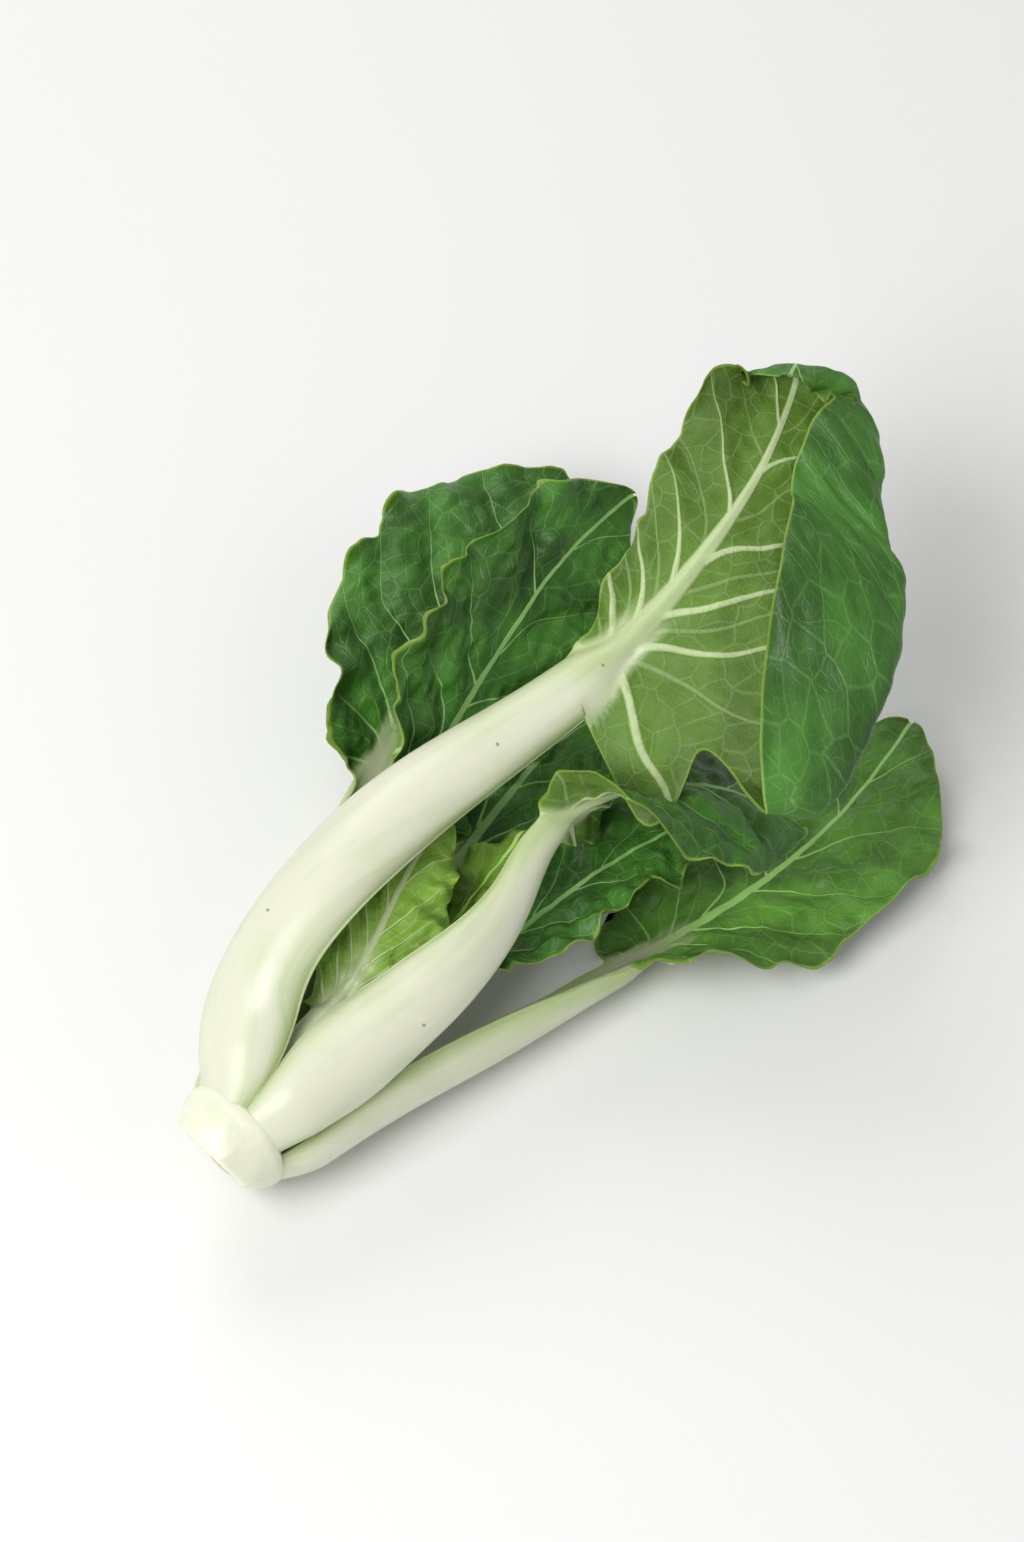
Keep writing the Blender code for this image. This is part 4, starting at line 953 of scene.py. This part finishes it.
class BOKCHOY_OT_middle_leaves(bpy.types.Operator):
    """Make the four leaves of the middle ring; the front one is young and bright"""
    bl_idname = "bokchoy.middle_leaves"
    bl_label = "Middle leaves"

    def execute(self, context):
        looks = context.scene.bokchoy_leaves
        young = "middle_leaf_front"
        make_leaves(looks, MIDDLE_GRID, young, "front_leaf_finish",
                    looks.young_green, looks.young_green)
        make_leaves(looks, MIDDLE_GRID, "middle_leaf", "middle_leaf_finish",
                    looks.upper_green, looks.under_green, but=(young,))
        return {"FINISHED"}


class BOKCHOY_OT_inner_leaves(bpy.types.Operator):
    """Make the two small leaves that curl around the bud"""
    bl_idname = "bokchoy.inner_leaves"
    bl_label = "Inner leaves"

    def execute(self, context):
        looks = context.scene.bokchoy_leaves
        make_leaves(looks, INNER_GRID, "inner_leaf", "inner_leaf_finish",
                    looks.young_green, looks.young_green)
        return {"FINISHED"}


class BOKCHOY_OT_heart_bud(bpy.types.Operator):
    """Make the bud in the middle of the head"""
    bl_idname = "bokchoy.heart_bud"
    bl_label = "Heart bud"

    def execute(self, context):
        piece = turned_piece("heart_bud_grown", BUD_PROFILE, wrapped, 48, 160)
        take_place(piece, "heart_bud", bud_material(context.scene.bokchoy_leaves))
        return {"FINISHED"}


FLOOR_HALF = 3.0
SKY_POWER = 0.37
KEY_LIGHT = {"turn": -95, "height": 50, "distance": 1.0, "size": 0.6, "power": 8.2}
FILL_LIGHT = {"turn": 20, "height": 35, "distance": 1.2, "size": 1.0, "power": 2.0}
BACK_LIGHT = {"turn": 150, "height": 40, "distance": 1.0, "size": 0.6, "power": 3.0}


def seen_from(azimuth, elevation):
    """Unit vector towards a place at that azimuth (0 is -Y, 90 is +X) and elevation."""
    return Vector((np.sin(azimuth) * np.cos(elevation), -np.cos(azimuth) * np.cos(elevation),
                   np.sin(elevation)))


def aim(thing, target):
    thing.rotation_euler = (target - thing.location).to_track_quat("-Z", "Y").to_euler()


def add_light(name, middle, turn, height, distance, size, power):
    """Soft square light, aimed at the middle of the head."""
    lamp = bpy.data.lights.new(name, "AREA")
    lamp.size = size
    lamp.energy = power
    light = bpy.data.objects.new(name, lamp)
    light.location = middle + distance * seen_from(np.radians(turn), np.radians(height))
    aim(light, middle)
    bpy.context.scene.collection.objects.link(light)


class BOKCHOY_OT_stage(bpy.types.Operator):
    """Make the pale floor, the soft lights and the camera"""
    bl_idname = "bokchoy.stage"
    bl_label = "Stage"

    def execute(self, context):
        scene = context.scene
        stage = scene.bokchoy_stage
        low, high = (Vector(corner) for corner in CAD_BOX)
        middle = (low + high) / 2

        mesh = bpy.data.meshes.new("floor")
        corners = [(FLOOR_HALF * x, FLOOR_HALF * y, 0) for x, y in ((-1, -1), (1, -1), (1, 1), (-1, 1))]
        mesh.from_pydata(corners, [], [(0, 1, 2, 3)])
        mesh.materials.append(floor_material(stage.floor_colour))
        floor = bpy.data.objects.new("floor", mesh)
        scene.collection.objects.link(floor)

        add_light("key_light", middle, **KEY_LIGHT)
        add_light("fill_light", middle, **FILL_LIGHT)
        add_light("back_light", middle, **BACK_LIGHT)
        world = bpy.data.worlds.new("studio")
        world.use_nodes = True
        background = world.node_tree.nodes["Background"]
        background.inputs["Color"].default_value = (1.0, 1.0, 1.0, 1.0)
        background.inputs["Strength"].default_value = SKY_POWER
        scene.world = world
        scene.view_settings.view_transform = "Standard"

        camera = bpy.data.objects.new("camera", bpy.data.cameras.new("camera"))
        camera.data.lens = stage.lens
        camera.data.clip_start = 0.01
        camera.location = middle + stage.distance * seen_from(stage.azimuth, stage.elevation)
        aim(camera, middle)
        scene.collection.objects.link(camera)
        scene.camera = camera
        return {"FINISHED"}


class BOKCHOY_PT_panel(bpy.types.Panel):
    """Lists the steps that make the head, in order"""
    bl_idname = "BOKCHOY_PT_panel"
    bl_label = "Bok choy"
    bl_space_type = "VIEW_3D"
    bl_region_type = "UI"
    bl_category = "Bok choy"

    def draw(self, context):
        for settings in (context.scene.bokchoy_leaves, context.scene.bokchoy_stage):
            for name in settings.__annotations__:
                self.layout.prop(settings, name)
        for step in STEPS:
            self.layout.operator(step.bl_idname)


SETTINGS = (LeafSettings, StageSettings)
STEPS = (BOKCHOY_OT_stem_base, BOKCHOY_OT_outer_leaves, BOKCHOY_OT_middle_leaves, BOKCHOY_OT_inner_leaves,
         BOKCHOY_OT_heart_bud, BOKCHOY_OT_stage)


def register():
    for kind in (*SETTINGS, *STEPS, BOKCHOY_PT_panel):
        bpy.utils.register_class(kind)
    bpy.types.Scene.bokchoy_leaves = bpy.props.PointerProperty(type=LeafSettings)
    bpy.types.Scene.bokchoy_stage = bpy.props.PointerProperty(type=StageSettings)


def unregister():
    del bpy.types.Scene.bokchoy_stage
    del bpy.types.Scene.bokchoy_leaves
    for kind in reversed((*SETTINGS, *STEPS, BOKCHOY_PT_panel)):
        bpy.utils.unregister_class(kind)


def main():
    register()
    bpy.ops.bokchoy.stem_base()
    bpy.ops.bokchoy.outer_leaves()
    bpy.ops.bokchoy.middle_leaves()
    bpy.ops.bokchoy.inner_leaves()
    bpy.ops.bokchoy.heart_bud()
    bpy.ops.bokchoy.stage()


if __name__ == "__main__":
    main()
